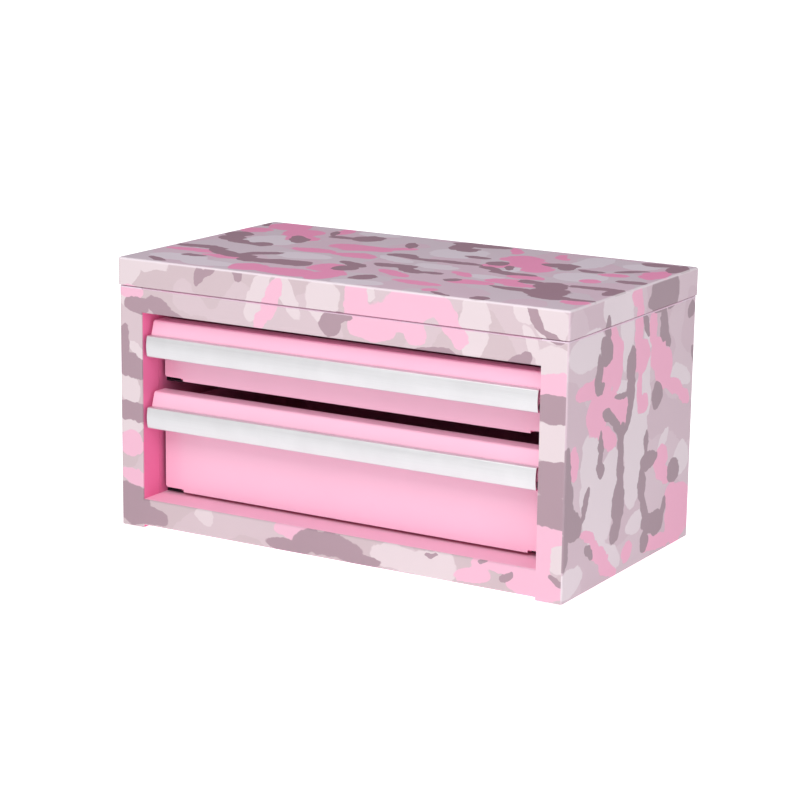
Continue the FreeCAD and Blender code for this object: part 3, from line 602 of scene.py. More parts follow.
    def nearest_lobe(self, canvas: Canvas, films: dict[Grain, Socket], patches: Patches) -> Socket | None:
        """Measures how near a place is to one colour's lobes: the distance to a lobe's centre on the
        film straightened for its grain, as a share of half its length, and the smooth minimum of
        these. It is 1 on the patches' outlines.

        Args:
            canvas: the new material's canvas.
            films: the place on each grain's straightened film.
            patches: the lobes.

        Returns:
            The nearness, or nothing where no lobe can be seen.
        """
        nearest = None
        for grain, lobes in patches.lobes.items():
            for across, up, half_length in lobes:
                if not self.shows(patches.sheet, across, up, half_length):
                    continue
                centre = grain.straightened(patches.sheet.value + across, up)
                away = canvas.add(
                    "VectorMath", {0: films[grain], 1: centre}, output="Value", operation="DISTANCE"
                )
                reach = canvas.add("Math", {0: away, 1: half_length}, operation="DIVIDE")
                if nearest is not None:
                    reach = canvas.add("Math", {0: nearest, 1: reach, 2: self.blend}, operation="SMOOTH_MIN")
                nearest = reach
        return nearest

    def shows(self, sheet: Sheet, across: float, up: float, half_length: float) -> bool:
        """Tells whether a lobe can be seen in any of the finish's windows.

        Args:
            sheet: the lobe's sheet.
            across: its centre across the sheet.
            up: its centre up the sheet.
            half_length: half its length.

        Returns:
            Whether it can be seen, allowing for the swirls.
        """
        reach = half_length + max(strength for _, strength in self.swirls)
        return any(window.shows(sheet, across, up, reach) for window in self.windows)


@dataclass(frozen=True)
class AnodisedAluminium(Finish):
    """Extruded aluminium, satin-brushed lengthwise and clear anodised: pale silver whose fine lines
    pull highlights out across the length."""

    colour: str = "#E1E0E2"
    roughness: float = 0.48
    roughness_drift: float = 0.05
    line_width: float = 0.35
    line_length: float = 60.0
    line_height: float = 0.004
    line_detail: float = 2.0
    cloud_width: float = 14.0
    cloud_detail: float = 4.0
    mottle: tuple[float, float] = (0.7, 1.3)
    darkest: float = 0.93

    def dress(self, canvas: Canvas) -> None:
        """Sets the shader up; see Finish.dress.

        Args:
            canvas: the new material's canvas.
        """
        stretch = (self.line_length, self.line_width, self.line_width)
        along = canvas.add("VectorMath", {0: canvas.place, 1: stretch}, operation="DIVIDE")
        lines = canvas.add("TexNoise", {"Vector": along, "Scale": 1.0, "Detail": self.line_detail})
        clouds = canvas.add("TexNoise", {
            "Vector": canvas.place, "Scale": 1 / self.cloud_width, "Detail": self.cloud_detail,
        })
        both = canvas.add("Math", {0: lines, 1: clouds}, operation="ADD")
        low, high = self.mottle
        level = canvas.add("MapRange", {
            "Value": both, "From Min": low, "From Max": high, "To Min": self.darkest, "To Max": 1.0,
        })
        shine = canvas.add("MapRange", {
            "Value": lines, "From Min": NOISE_LOW, "From Max": NOISE_HIGH,
            "To Min": self.roughness - self.roughness_drift, "To Max": self.roughness + self.roughness_drift,
        })
        colour = canvas.add(
            "VectorMath", {0: linear(self.colour)[:3], "Scale": level}, operation="SCALE"
        )
        normal = canvas.add("Bump", {"Height": lines, "Distance": self.line_height * MM, "Strength": 1.0})
        canvas.to_shader({"Base Color": colour, "Roughness": shine, "Normal": normal, "Metallic": 1.0})


@dataclass(frozen=True)
class Speckled(Finish):
    """A finish whose colour and roughness vary with one fine noise, with a bump of its own height."""

    colour: str
    second: str
    roughness: tuple[float, float]
    grain: float
    height: float
    metallic: float = 0.0
    detail: float = 3.0
    contrast: tuple[float, float] = (0.35, 0.65)

    def dress(self, canvas: Canvas) -> None:
        """Sets the shader up; see Finish.dress.

        Args:
            canvas: the new material's canvas.
        """
        grain = canvas.add(
            "TexNoise", {"Vector": canvas.place, "Scale": 1 / self.grain, "Detail": self.detail}
        )
        low, high = self.contrast
        level = canvas.add("MapRange", {"Value": grain, "From Min": low, "From Max": high})
        colour = canvas.add(
            "Mix", {"Factor": level, 6: linear(self.colour), 7: linear(self.second)}, **COLOURS
        )
        smooth, rough = self.roughness
        shine = canvas.add("MapRange", {"Value": level, "To Min": smooth, "To Max": rough})
        normal = canvas.add("Bump", {"Height": grain, "Distance": self.height * MM, "Strength": 1.0})
        canvas.to_shader(
            {"Base Color": colour, "Roughness": shine, "Normal": normal, "Metallic": self.metallic}
        )


@dataclass(frozen=True)
class FoamSheet(Finish):
    """Closed-cell polyethylene foam, cut from sheet: charcoal, quite matt, with fine round cells
    whose walls stand up, and painted shade that makes their hollows darker than the walls."""

    colour: str = "#2B2B2F"
    roughness: float = 0.92
    cell: float = 0.9
    cell_wall: float = 0.8
    # Painted shade: the colour's level in the cells' hollows and on their walls, which follows the bump's
    # height
    shades: tuple[float, float] = (0.8, 1.25)
    depth: float = 0.12
    relief: float = 0.6

    def dress(self, canvas: Canvas) -> None:
        """Sets the shader up; see Finish.dress.

        Args:
            canvas: the new material's canvas.
        """
        cells = canvas.add("TexVoronoi", {"Vector": canvas.place, "Scale": 1 / self.cell}, output="Distance")
        # Painted shade: the colour darkens towards each cell's hollow, as the bump sinks there
        shaded_hollow, lit_wall = self.shades
        level = canvas.add(
            "MapRange", {"Value": cells, "From Max": self.cell_wall, "To Min": shaded_hollow, "To Max": lit_wall}
        )
        colour = canvas.add(
            "VectorMath", {0: linear(self.colour)[:3], "Scale": level}, operation="SCALE"
        )
        normal = canvas.add(
            "Bump", {"Height": cells, "Distance": self.depth * MM, "Strength": self.relief}
        )
        canvas.to_shader({"Base Color": colour, "Normal": normal, "Roughness": self.roughness})


# Surfaces


def grid_faces(rows: int, columns: int, copies: int = 1) -> np.ndarray:
    """Joins the points of equal grids into four-sided faces, each row closed on itself.

    The point at row r and column c has the number r * columns + c, and a face joins it with its
    neighbours in the next column, counted round, and in the next row.

    Args:
        rows: rows of one grid, which stay open.
        columns: points in a row.
        copies: how many grids follow each other.

    Returns:
        Point numbers, one row of four for each face.
    """
    number = np.arange(copies * rows * columns).reshape(copies, rows, columns)
    beside = np.roll(number, -1, axis=2)
    corners = (number[:, :-1], beside[:, :-1], beside[:, 1:], number[:, 1:])
    return np.stack(corners, axis=-1).reshape(-1, 4)


def add_piece(name: str, points: np.ndarray, faces: list) -> bpy.types.Object:
    """Makes a mesh object at the origin.

    Args:
        name: the piece's name.
        points: places in metres, one row each.
        faces: point numbers of each face.

    Returns:
        The object.
    """
    mesh = bpy.data.meshes.new(name)
    mesh.from_pydata(points.reshape(-1, 3).tolist(), [], faces)
    mesh.validate()
    mesh.update()
    piece = bpy.data.objects.new(name, mesh)
    bpy.context.scene.collection.objects.link(piece)
    return piece


def close_up(piece: bpy.types.Object) -> None:
    """Merges the points that meet, such as at a turned shape's poles, turns all faces outwards, and
    shades them smoothly except across sharp edges.

    Args:
        piece: the new mesh object.
    """
    shape = bmesh.new()
    shape.from_mesh(piece.data)
    bmesh.ops.remove_doubles(shape, verts=shape.verts, dist=MERGE_DISTANCE)
    bmesh.ops.recalc_face_normals(shape, faces=shape.faces)
    shape.to_mesh(piece.data)
    shape.free()
    piece.data.shade_smooth()
    piece.data.set_sharp_from_angle(angle=math.radians(SMOOTH_ANGLE))


def turned(profile: np.ndarray, segments: int) -> np.ndarray:
    """Turns a profile about the Z axis: at angle t, a point at radius r and height h goes to
    (r cos t, r sin t, h).

    Args:
        profile: radius and height of each point, one row each.
        segments: points round the axis.

    Returns:
        A grid of places, profile points by segments by three.
    """
    angle = np.linspace(0.0, math.tau, segments, endpoint=False)
    radius, height = profile[:, :1], profile[:, 1:]
    return np.stack(
        [radius * np.cos(angle), radius * np.sin(angle), np.broadcast_to(height, (len(profile), segments))],
        axis=-1,
    )


def turned_pieces(
    name: str, profile: np.ndarray, segments: int, centres: np.ndarray, axes: np.ndarray | None = None
) -> bpy.types.Object:
    """Sets copies of one turned shape at several centres, as one mesh with its poles closed.

    Args:
        name: the piece's name.
        profile: radius and height of each point, from the lower end to the upper end.
        segments: points round the axis.
        centres: where each copy's origin goes, one row each.
        axes: for each copy, the matrix whose columns are its own X, Y and Z; none keeps Z up.

    Returns:
        The object.
    """
    grid = turned(profile, segments)
    copies = len(centres)
    if axes is None:
        axes = np.broadcast_to(np.eye(3), (copies, 3, 3))
    points = np.einsum("kij,rsj->krsi", axes, grid) + centres[:, None, None, :]
    piece = add_piece(name, points, grid_faces(len(profile), segments, copies).tolist())
    close_up(piece)
    return piece


def arc(centre: tuple[float, float], radius: float, start: float, end: float, count: int) -> np.ndarray:
    """Points on an arc: centre + radius (cos t, sin t), t evenly from start to end in degrees.

    Args:
        centre: the arc's centre.
        radius: its radius.
        start: the first angle.
        end: the last angle.
        count: how many points.

    Returns:
        One row for each point.
    """
    angle = np.radians(np.linspace(start, end, count))
    return np.stack([centre[0] + radius * np.cos(angle), centre[1] + radius * np.sin(angle)], axis=-1)


def dome(radius: float, height: float, rim: float, count: int) -> np.ndarray:
    """A dome's profile, a quarter ellipse: (radius cos t, rim + (height - rim) sin t), t evenly from
    the rim at 0 to the axis at 90 degrees.

    Args:
        radius: the rim's radius.
        height: the top's height.
        rim: the rim's height.
        count: how many points.

    Returns:
        Radius and height of each point, one row each.
    """
    profile = arc((0.0, 0.0), 1.0, 0.0, 90.0, count) * (radius, height - rim) + (0.0, rim)
    profile[-1, 0] = 0.0
    return profile


def every_place(x: object, y: object, z: object) -> np.ndarray:
    """Combines each of the given x, y and z with all others, one place in a row."""
    return np.stack(np.meshgrid(x, y, z, indexing="ij"), axis=-1).reshape(-1, 3)


def corners_of(node: str) -> tuple[np.ndarray, np.ndarray]:
    """Gives a CAD node's lowest and highest corner as arrays."""
    low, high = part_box(node)
    return np.array(low), np.array(high)


# The chest's finishes

GROUNDS = (
    Ground(Sheet.FRONT, "#CAB7BC", "#D0BDC3"),
    Ground(Sheet.SIDE, "#D6BFCA", "#DBC6D0"),
    Ground(Sheet.TOP, "#E4C6D8", "#E1CDDB"),
)

# The film's pattern: pale, pink and mauve patches of 10 to 60 mm over a greige ground, drawn sheet
# by sheet. Lobes of one colour that touch make one patch or the limbs of a branching one.
FRONT_PATCHES = (
    Patches("#DDCED2", Sheet.FRONT, {
        Grain.ROUND: ((-131, 147, 9), (-5, 142, 11), (128, 143, 9), (130, 124, 9), (-132, 80, 8),
            (-81, 14, 6), (134, 26, 8), (113, 150, 7)),
        Grain.LEVEL: ((40, 10, 15), (62, 10, 16), (-116, 151, 12), (-133, 59, 11), (131, 84, 21)),
        Grain.UPRIGHT: ((-134, 137, 13), (84, 137, 17), (23, 149, 5)),
        Grain.STEEP: ((-46, 139, 15),),
        Grain.FALLING: ((-126, 101, 8),),
        Grain.DROPPING: ((-28, 141, 13), (117, 134, 9)),
    }),
    Patches("#EAB7CC", Sheet.FRONT, {
        Grain.ROUND: ((-130, 48, 8), (50, 132, 7), (76, 131, 5)),
        Grain.LEVEL: ((-129, 133, 9), (38, 138, 18), (48, 146, 17), (24, 129, 14), (-128, 30, 9),
            (-24, 16, 11), (86, 8, 10), (122, 9, 17), (131, 113, 14), (132, 38, 13)),
        Grain.STRETCHED: ((100, 15, 15),),
        Grain.UPRIGHT: ((15, 142, 14), (124, 24, 14)),
        Grain.STEEP: ((-38, 138, 12), (-45, 127, 8)),
        Grain.DROPPING: ((68, 141, 15),),
    }),
    Patches("#AB929C", Sheet.FRONT, {
        Grain.ROUND: ((-58, 148, 3), (-2, 130, 7), (-130, 14, 12), (115, 125, 4)),
        Grain.LEVEL: ((-126, 126, 10), (-130, 92, 13), (-130, 67, 12), (-116, 8, 11), (93, 15, 3),
            (131, 101, 16), (131, 66, 18), (131, 49, 17)),
        Grain.STRETCHED: ((62, 122, 12), (-2, 11, 21), (-26, 6, 15), (18, 5, 14), (62, 16, 4),
            (3, 133, 10)),
        Grain.UPRIGHT: ((-135, 105, 9), (-83.5, 146, 5.5)),
        Grain.RISING: ((111, 124, 8), (106, 10, 5), (-78.5, 149, 6)),
        Grain.FALLING: ((-107, 125, 12), (128, 138, 7), (-61, 150, 5), (134, 13, 6)),
        Grain.DROPPING: ((120, 146, 9),),
    }),
)
SIDE_PATCHES = (
    Patches("#E7D9E0", Sheet.SIDE, {
        Grain.ROUND: ((-42, 38, 18), (-28, 56, 15), (60, 49, 10), (14, 124, 7)),
        Grain.LEVEL: ((-57, 128, 21), (-24, 146, 19), (-18, 104, 9), (-72, 10, 14), (5, 23, 12)),
        Grain.UPRIGHT: ((-13, 128, 17), (12, 104, 12), (14, 89, 10), (-52, 60, 24), (2, 76, 27),
            (-2, 50, 17)),
        Grain.RISING: ((36, 64, 9),),
        Grain.FALLING: ((56, 95, 13), (-28, 14, 17)),
    }),
    Patches("#F3B5CF", Sheet.SIDE, {
        Grain.ROUND: ((-3, 147, 6), (6, 113, 9), (9, 88, 6), (26, 113, 10), (34, 102, 11),
            (-44, 92, 12), (-27, 93, 9), (-17, 90, 8), (-5, 9, 6), (34, 54, 8), (58, 18, 16),
            (48, 30, 7)),
        Grain.STRETCHED: ((-53, 107, 17), (32, 8, 18)),
        Grain.UPRIGHT: ((19, 128, 11), (-29, 127, 10), (-24, 115, 14), (-36, 108, 14), (-70, 72, 9)),
        Grain.TALL: ((1, 130, 16), (4, 99, 9)),
        Grain.FALLING: ((48, 91, 13), (62, 82, 9), (-34, 77, 13), (-54, 29, 10), (-39, 18, 13),
            (-28, 7, 12), (38, 44, 11)),
    }),
    Patches("#AD97A1", Sheet.SIDE, {
        Grain.ROUND: ((68, 130, 5), (-37, 124, 7), (-43, 105, 4), (-21, 25, 6),
            (-40, 63, 5), (27, 89, 7), (-70, 38, 9), (17, 10, 5), (51, 44, 8)),
        Grain.LEVEL: ((30, 147, 18), (22, 141, 13), (38, 142, 11), (19, 56, 11), (26, 20, 14)),
        Grain.STRETCHED: ((-17, 98, 7),),
        Grain.UPRIGHT: ((32, 128, 10), (70, 105, 5), (-34, 136, 6), (-45, 114, 9), (-6, 113, 10),
            (-6, 98, 10), (-17, 76, 9), (-17, 40, 15), (-75, 50, 12), (-79, 26, 9), (15, 66, 6),
            (10, 43, 11)),
        Grain.TALL: ((-15, 60, 16), (-41, 73, 9), (-77, 66, 15)),
        Grain.STEEP: ((-9, 86, 10), (-57, 48, 9), (38, 24, 9)),
        Grain.FALLING: ((-30, 87, 10), (-20, 79, 9), (-51, 20, 7)),
        Grain.DROPPING: ((10, 129, 8), (37, 118, 7), (13, 31, 11)),
    }),
)
TOP_PATCHES = (
    Patches("#EDDEEB", Sheet.TOP, {
        Grain.ROUND: ((-100, 15, 17), (10, 36, 17), (114, 55, 10), (100, 8, 14)),
        Grain.LEVEL: ((-58, -20, 18), (20, -8, 14), (-112, -60, 19), (-88, -68, 16), (58, -20, 10),
            (10, -72, 14), (-60, 66, 13)),
        Grain.UPRIGHT: ((85, 50, 20), (60, 6, 9)),
        Grain.FALLING: ((-10, 0, 14),),
    }),
    Patches("#FD9CC9", Sheet.TOP, {
        Grain.ROUND: ((-118, 61, 13), (-100, 45, 13), (-90, 30, 10), (-62, -66, 11), (-25, -44, 11),
            (48, 40, 12), (60, 27, 13), (70, 15, 9), (45, 12, 8), (109, 0, 6), (52, -69, 5), (-128, 40, 9)),
        Grain.LEVEL: ((-44, 20, 20), (-62, 0, 14), (-34, -3, 14), (-36, -67, 21), (76, -10, 12),
            (72, -26, 12), (58, -38, 14), (84, -31, 10), (112, 23, 9), (130, -59, 9)),
        Grain.STRETCHED: ((-118, -38, 17), (-90, -45, 16), (36, -56, 16)),
        Grain.UPRIGHT: ((-82, 62, 11), (-15, -64, 16), (130, 34, 14)),
        Grain.RISING: ((-23, 30, 11),),
        Grain.FALLING: ((12, -38, 13), (44, -20, 9)),
        Grain.DROPPING: ((32, 62, 10), (64, 58, 9)),
    }),
    Patches("#A47E90", Sheet.TOP, {
        Grain.ROUND: ((-58, 51, 10), (-128, 22, 9), (-124, 9, 8), (-98, 0, 7), (-17, -41, 8),
            (5, -58, 7), (43, 19, 7), (8, 50, 7), (82, 27, 6), (99, -25, 10), (105, -41, 12),
            (48, -37, 5), (85, -76, 5)),
        Grain.LEVEL: ((-73, 46, 8), (-86, -38, 11), (-70, -46, 13), (-52, -42, 15), (-107, -52, 7),
            (0, -18, 13), (28, -26, 7), (-11, 12, 10), (25, 31, 9), (75, 34, 12), (97, 28, 7),
            (118, 66, 11), (128, 9, 9), (84, -20, 8), (112, -53, 12)),
        Grain.STRETCHED: ((-120, -25, 18), (8, 8, 14), (28, 8, 12), (64, -4, 15), (8, 67, 19),
            (84, -42, 13), (122, -17, 15), (128, -53, 10)),
        Grain.UPRIGHT: ((0, 60, 14), (133, 58, 12), (134, -26, 9)),
        Grain.RISING: ((-80, -26, 12), (115, 37, 10)),
        Grain.FALLING: ((-112, 1, 13), (-100, -34, 15), (-118, -72, 8), (-20, -28, 12), (15, -26, 12),
            (48, 2, 9), (62, -76, 7)),
        Grain.DROPPING: ((-84, 55, 8), (55, 10, 7), (-90, 26, 13), (-136, 64, 9), (-24, 44, 10)),
    }),
)

ENAMEL = StovedEnamel("pink_stoved_enamel")
# The insides get the same enamel with less coat and a deeper pink, which is painted shade: the deep,
# saturated shade that light bounced between pink sheets gives the recesses
PAINTED_SHADE_ENAMEL = StovedEnamel("pink_enamel_with_painted_shade", colour="#F27CAC", coat=0.2)
CASE_PRINT = CamouflagePrint(
    "camouflage_print_case",
    # Inner faces take the deeper pink, which is painted shade
    colour=PAINTED_SHADE_ENAMEL.colour,
    skin=Skin(half_width=137.5, front=-79.95, rear=73.05, top=136.05, radius=1.4),
    windows=(
        Window(Sheet.FRONT, -138, -121, 0, 137), Window(Sheet.FRONT, 121, 138, 0, 137),
        Window(Sheet.SIDE, -81, 81, 0, 137),
    ),
    grounds=GROUNDS,
    patches=FRONT_PATCHES + SIDE_PATCHES,
)
RAIL_PRINT = CamouflagePrint(
    "camouflage_print_rails",
    skin=CASE_PRINT.skin,
    windows=(Window(Sheet.FRONT, -123, 123, 2, 18), Window(Sheet.FRONT, -123, 123, 122, 137)),
    grounds=GROUNDS,
    patches=FRONT_PATCHES,
)
# The panel's upper edge takes the back's print too, because this skin's top is out of reach
BACK_PRINT = CamouflagePrint(
    "camouflage_print_back",
    # Inner faces take the deeper pink, which is painted shade
    colour=PAINTED_SHADE_ENAMEL.colour,
    skin=Skin(half_width=137.5, front=-79.95, rear=72.25, top=900.0, radius=1.4),
    windows=(Window(Sheet.TOP, -138, 138, -75, 62),),
    upright=75.0,
    grounds=GROUNDS,
    patches=TOP_PATCHES,
)
LID_PRINT = CamouflagePrint(
    "camouflage_print_lid",
    skin=Skin(half_width=138.1, front=-80.55, rear=73.65, top=151.9, radius=1.6),
    # The lid's rounded top edge gets a pale painted highlight
    painted_edge_highlight=0.7,
    windows=(
        Window(Sheet.FRONT, -139, 139, 136, 152), Window(Sheet.SIDE, -81, 81, 136, 152),
        Window(Sheet.TOP, -139, 139, -81, 77),
    ),
    upright=75.0,
    grounds=GROUNDS,
    patches=FRONT_PATCHES + SIDE_PATCHES + TOP_PATCHES,
)
TRIM_METAL = AnodisedAluminium("clear_anodised_aluminium")
# Cathodic electrocoat on rolled steel: thin, near black, an even satin with a fine grit in it
ELECTROCOAT = Speckled(
    "black_electrocoat", colour="#101013", second="#19191D", roughness=(0.3, 0.42), grain=0.8, height=0.006
)
# Bright electroplated zinc: bluish silver with soft cloudy patches and fine handling marks
ZINC = Speckled(
    "bright_zinc_plate", colour="#C3C8CE", second="#B7BDC5", metallic=1.0, roughness=(0.26, 0.33),
    grain=7.0, height=0.003,
)
# Lapped bearing steel: almost a mirror, with a thin film of grease that dulls it in patches
BEARING = Speckled(
    "lapped_bearing_steel", colour="#D9DADC", second="#CDCED2", metallic=1.0, roughness=(0.08, 0.18),
    grain=1.2, height=0.001,
)
# Injection-moulded acetal: waxy near-black that is slightly lighter along its flow marks
ACETAL = Speckled(
    "moulded_acetal", colour="#1D1D20", second="#27272A", roughness=(0.38, 0.5), grain=5.0, height=0.01
)
# Compression-moulded rubber: black with a grey bloom and the fine grain of a blasted mould
RUBBER = Speckled(
    "moulded_rubber", colour="#19191A", second="#232325", roughness=(0.62, 0.8), grain=0.7, height=0.03
)
FOAM = FoamSheet("closed_cell_foam")


# Sub-assemblies


@dataclass
class Slide:
    """One ball-bearing slide of three members, with its two cages and their balls."""

    level: Level
    side: Side
    balls_per_row: int = 3
    ball_segments: int = 12
    ball_rings: int = 9

    def dress(self) -> None:
        """Finishes the members and cages, and makes the balls."""
        name = f"{self.level.value}_{self.side.value}"
        members = (f"{name}_slide_{part}" for part in ("outer", "middle", "inner"))
        ELECTROCOAT.put_on_nodes(*members)
        ACETAL.put_on_nodes(*(f"{name}_{row.value}_cage" for row in Row))
        for row in Row:
            self.build_balls(row)

    def build_balls(self, row: Row) -> None:
        """Makes round balls for one cage: each is a half circle turned about its own axis.

        Args:
            row: which of the slide's ball sets.
        """
        node = f"{self.level.value}_{self.side.value}_{row.value}_balls"
        low, high = corners_of(node)
        radius = (high[0] - low[0]) / 2
        depths = np.linspace(low[1] + radius, high[1] - radius, self.balls_per_row)
        centres = every_place(low[0] + radius, depths, (low[2] + radius, high[2] - radius))
        half_circle = arc((0.0, 0.0), radius, -90.0, 90.0, self.ball_rings)
        half_circle[[0, -1], 0] = 0.0
        piece = turned_pieces(f"{node}_round", half_circle, self.ball_segments, centres)
        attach(piece, f"{self.level.value}_{row.value}_cages")
        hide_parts(node)
        BEARING.put_on_piece(piece)


@dataclass
class Mat:
    """A foam mat, ribbed across so that tools don't roll, with softly cut edges."""

    node: str
    body: str
    rib_pitch: float = 6.0 * MM
    rib_height: float = 0.5 * MM
    edge_radius: float = 0.6 * MM
    samples_per_rib: int = 8
    edge_points: int = 5

    def build(self) -> None:
        """Makes the mat in the place of its CAD node: a section in the YZ plane, round at its four
        corners and with a sine wave along its top, carried along X with its ends drawn in."""
        low, high = corners_of(self.node)
        radius = self.edge_radius
        inner_low, inner_high = low[1:] + radius, high[1:] - radius
        ribs = round((inner_high[0] - inner_low[0]) / self.rib_pitch)
        y = np.linspace(inner_high[0], inner_low[0], ribs * self.samples_per_rib + 1)
        wave = (1 - np.cos(np.linspace(0.0, math.tau * ribs, len(y)))) / 2
        top = np.stack([y, high[2] - self.rib_height * wave], axis=-1)
        bends = [
            arc(centre, radius, start, start + 90.0, self.edge_points)
            for centre, start in (
                ((inner_low[0], inner_high[1]), 90.0), (tuple(inner_low), 180.0),
                ((inner_high[0], inner_low[1]), 270.0), (tuple(inner_high), 0.0),
            )
        ]
        section = np.concatenate([top, bends[0][1:], bends[1], bends[2], bends[3][:-1]])
        turn = np.radians(np.linspace(0.0, 90.0, self.edge_points))
        ramp = radius * (1 - np.cos(turn))
        draw_in = radius * (1 - np.sin(turn))
        x = np.concatenate([low[0] + ramp, high[0] - ramp[::-1]])
        shrink = np.concatenate([draw_in, draw_in[::-1]])[:, None, None]
        middle, half = (low[1:] + high[1:]) / 2, (high[1:] - low[1:]) / 2
        ring = middle + (section - middle) * (1 - shrink / half)
        along = np.broadcast_to(x[:, None, None], (len(x), len(section), 1))
        points = np.concatenate([along, ring], axis=-1)
        count = len(section)
        faces = grid_faces(len(x), count).tolist()
        faces += [list(range(count)), list(range((len(x) - 1) * count, len(x) * count))]
        piece = add_piece(f"{self.node}_sheet", points, faces)
        close_up(piece)
        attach(piece, self.body)
        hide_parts(self.node)
        FOAM.put_on_piece(piece)


@dataclass
class Drawer:
    """One drawer: box, front, trim, mat and rivets, with its two slides."""

    level: Level
    rivet_dome: float = 0.9 * MM
    rivet_edge: float = 0.22 * MM
    shank_radius: float = 1.55 * MM
    box_wall: float = 0.8 * MM
    slide_wall: float = 1.0 * MM
    rivet_tail: float = 0.3 * MM
    rivet_segments: int = 24
    dome_points: int = 8

    @property
    def body(self) -> str:
        """The CAD body that the drawer's own pieces ride on."""
        return f"{self.level.value}_drawer"

    def build(self) -> None:
        """Builds the drawer's finer pieces and finishes all of it."""
        ENAMEL.put_on_nodes(f"{self.body}_front")
        # The box's deeper pink is painted shade
        PAINTED_SHADE_ENAMEL.put_on_nodes(f"{self.body}_box")
        TRIM_METAL.put_on_nodes(f"{self.body}_trim")
        Mat(f"{self.body}_mat", self.body).build()
        self.build_rivets()
        for side in Side:
            Slide(self.level, side).dress()

    def build_rivets(self) -> None:
        """Makes the rivets round: a domed head inside the box, a shank, and a rolled tail behind the
        slide member, all one profile turned about the rivet's axis."""
        node = f"{self.body}_rivets"
        low, high = corners_of(node)
        head_radius = (high[2] - low[2]) / 2
        tail_end = -(self.box_wall + self.slide_wall + self.rivet_tail)
        profile = np.concatenate([
            [(0.0, tail_end), (self.shank_radius, tail_end), (self.shank_radius, 0.0), (head_radius, 0.0)],
            dome(head_radius, self.rivet_dome, self.rivet_edge, self.dome_points),
        ])
        reach = high[0] + tail_end
        depths = (low[1] + head_radius, high[1] - head_radius)
        centres = every_place((-reach, reach), depths, (low[2] + high[2]) / 2)
        inward = -np.sign(centres[:, 0])
        axes = np.zeros((len(centres), 3, 3))
        axes[:, 2, 0], axes[:, 1, 1], axes[:, 0, 2] = -inward, 1.0, inward
        piece = turned_pieces(f"{node}_round", profile, self.rivet_segments, centres, axes)
        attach(piece, self.body)
        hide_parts(node)
        ZINC.put_on_piece(piece)


@dataclass
class Case:
    """The case: side panels, rails, back, floors, liners, feet, bumpers, mat and hinge leaf."""

    foot_radius: float = 6.0 * MM
    sole_radius: float = 5.3 * MM
    sole_edge: float = 0.6 * MM
    recess_radius: float = 2.4 * MM
    recess_depth: float = 0.9 * MM
    recess_edge: float = 0.25 * MM
    sole_points: int = 6
    foot_segments: int = 48
    bumper_rim_share: float = 0.35
    bumper_points: int = 9
    bumper_segments: int = 40

    def build(self) -> None:
        """Builds the case's finer pieces and finishes all of it."""
        CASE_PRINT.put_on_nodes("case_left_side", "case_right_side")
        RAIL_PRINT.put_on_nodes("top_rail", "bottom_rail")
        BACK_PRINT.put_on_nodes("back_panel")
        # These insides take the deeper pink, which is painted shade
        PAINTED_SHADE_ENAMEL.put_on_nodes("bottom_pan", "tray_floor", "left_liner", "right_liner")
        ZINC.put_on_nodes("hinge_case_leaf", "hinge_pin")
        Mat("tray_mat", "case").build()
        self.build_feet()
        self.build_bumpers()

    def build_feet(self) -> None:
        """Makes the feet: a tapered disc with a rounded sole edge and a shallow round recess in the
        sole, one profile turned about each foot's axis."""
        low, high = corners_of("rubber_feet")
        edge = self.recess_edge
        profile = np.concatenate([
            [(0.0, self.recess_depth), (self.recess_radius - edge, self.recess_depth)],
            [(self.recess_radius, self.recess_depth - edge), (self.recess_radius, edge)],
            [(self.recess_radius + edge, 0.0)],
            arc(
                (self.sole_radius - self.sole_edge, self.sole_edge), self.sole_edge, -90.0, 0.0,
                self.sole_points,
            ),
            [(self.foot_radius, high[2] - low[2]), (0.0, high[2] - low[2])],
        ])
        x = (low[0] + self.foot_radius, high[0] - self.foot_radius)
        y = (low[1] + self.foot_radius, high[1] - self.foot_radius)
        centres = every_place(x, y, low[2])
        piece = turned_pieces("rubber_feet_moulded", profile, self.foot_segments, centres)
        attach(piece, "case")
        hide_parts("rubber_feet")
        RUBBER.put_on_piece(piece)

    def build_bumpers(self) -> None:
        """Makes the lid bumpers: low domes, a quarter ellipse turned about each bumper's axis."""
        low, high = corners_of("lid_bumpers")
        radius, height = (high[1] - low[1]) / 2, high[2] - low[2]
        rim = self.bumper_rim_share * height
        profile = np.concatenate([
            [(0.0, 0.0), (radius, 0.0)], dome(radius, height, rim, self.bumper_points),
        ])
        centres = every_place((low[0] + radius, high[0] - radius), low[1] + radius, low[2])
        piece = turned_pieces("lid_bumpers_domed", profile, self.bumper_segments, centres)
        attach(piece, "case")
        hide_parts("lid_bumpers")
        RUBBER.put_on_piece(piece)


@dataclass
class Lid:
    """The lid: its shell and its hinge leaf."""

    def dress(self) -> None:
        """Finishes the lid."""
        LID_PRINT.put_on_nodes("lid_shell")
        ZINC.put_on_nodes("hinge_lid_leaf")


# Studio


def direction(azimuth: float, elevation: float) -> Vector:
    """Points from the chest to a place around it.

    Args:
        azimuth: degrees from the front towards the chest's right side.
        elevation: degrees up from level.

    Returns:
        A vector of length 1.
    """
    turn, rise = math.radians(azimuth), math.radians(elevation)
    return Vector((math.sin(turn) * math.cos(rise), -math.cos(turn) * math.cos(rise), math.sin(rise)))


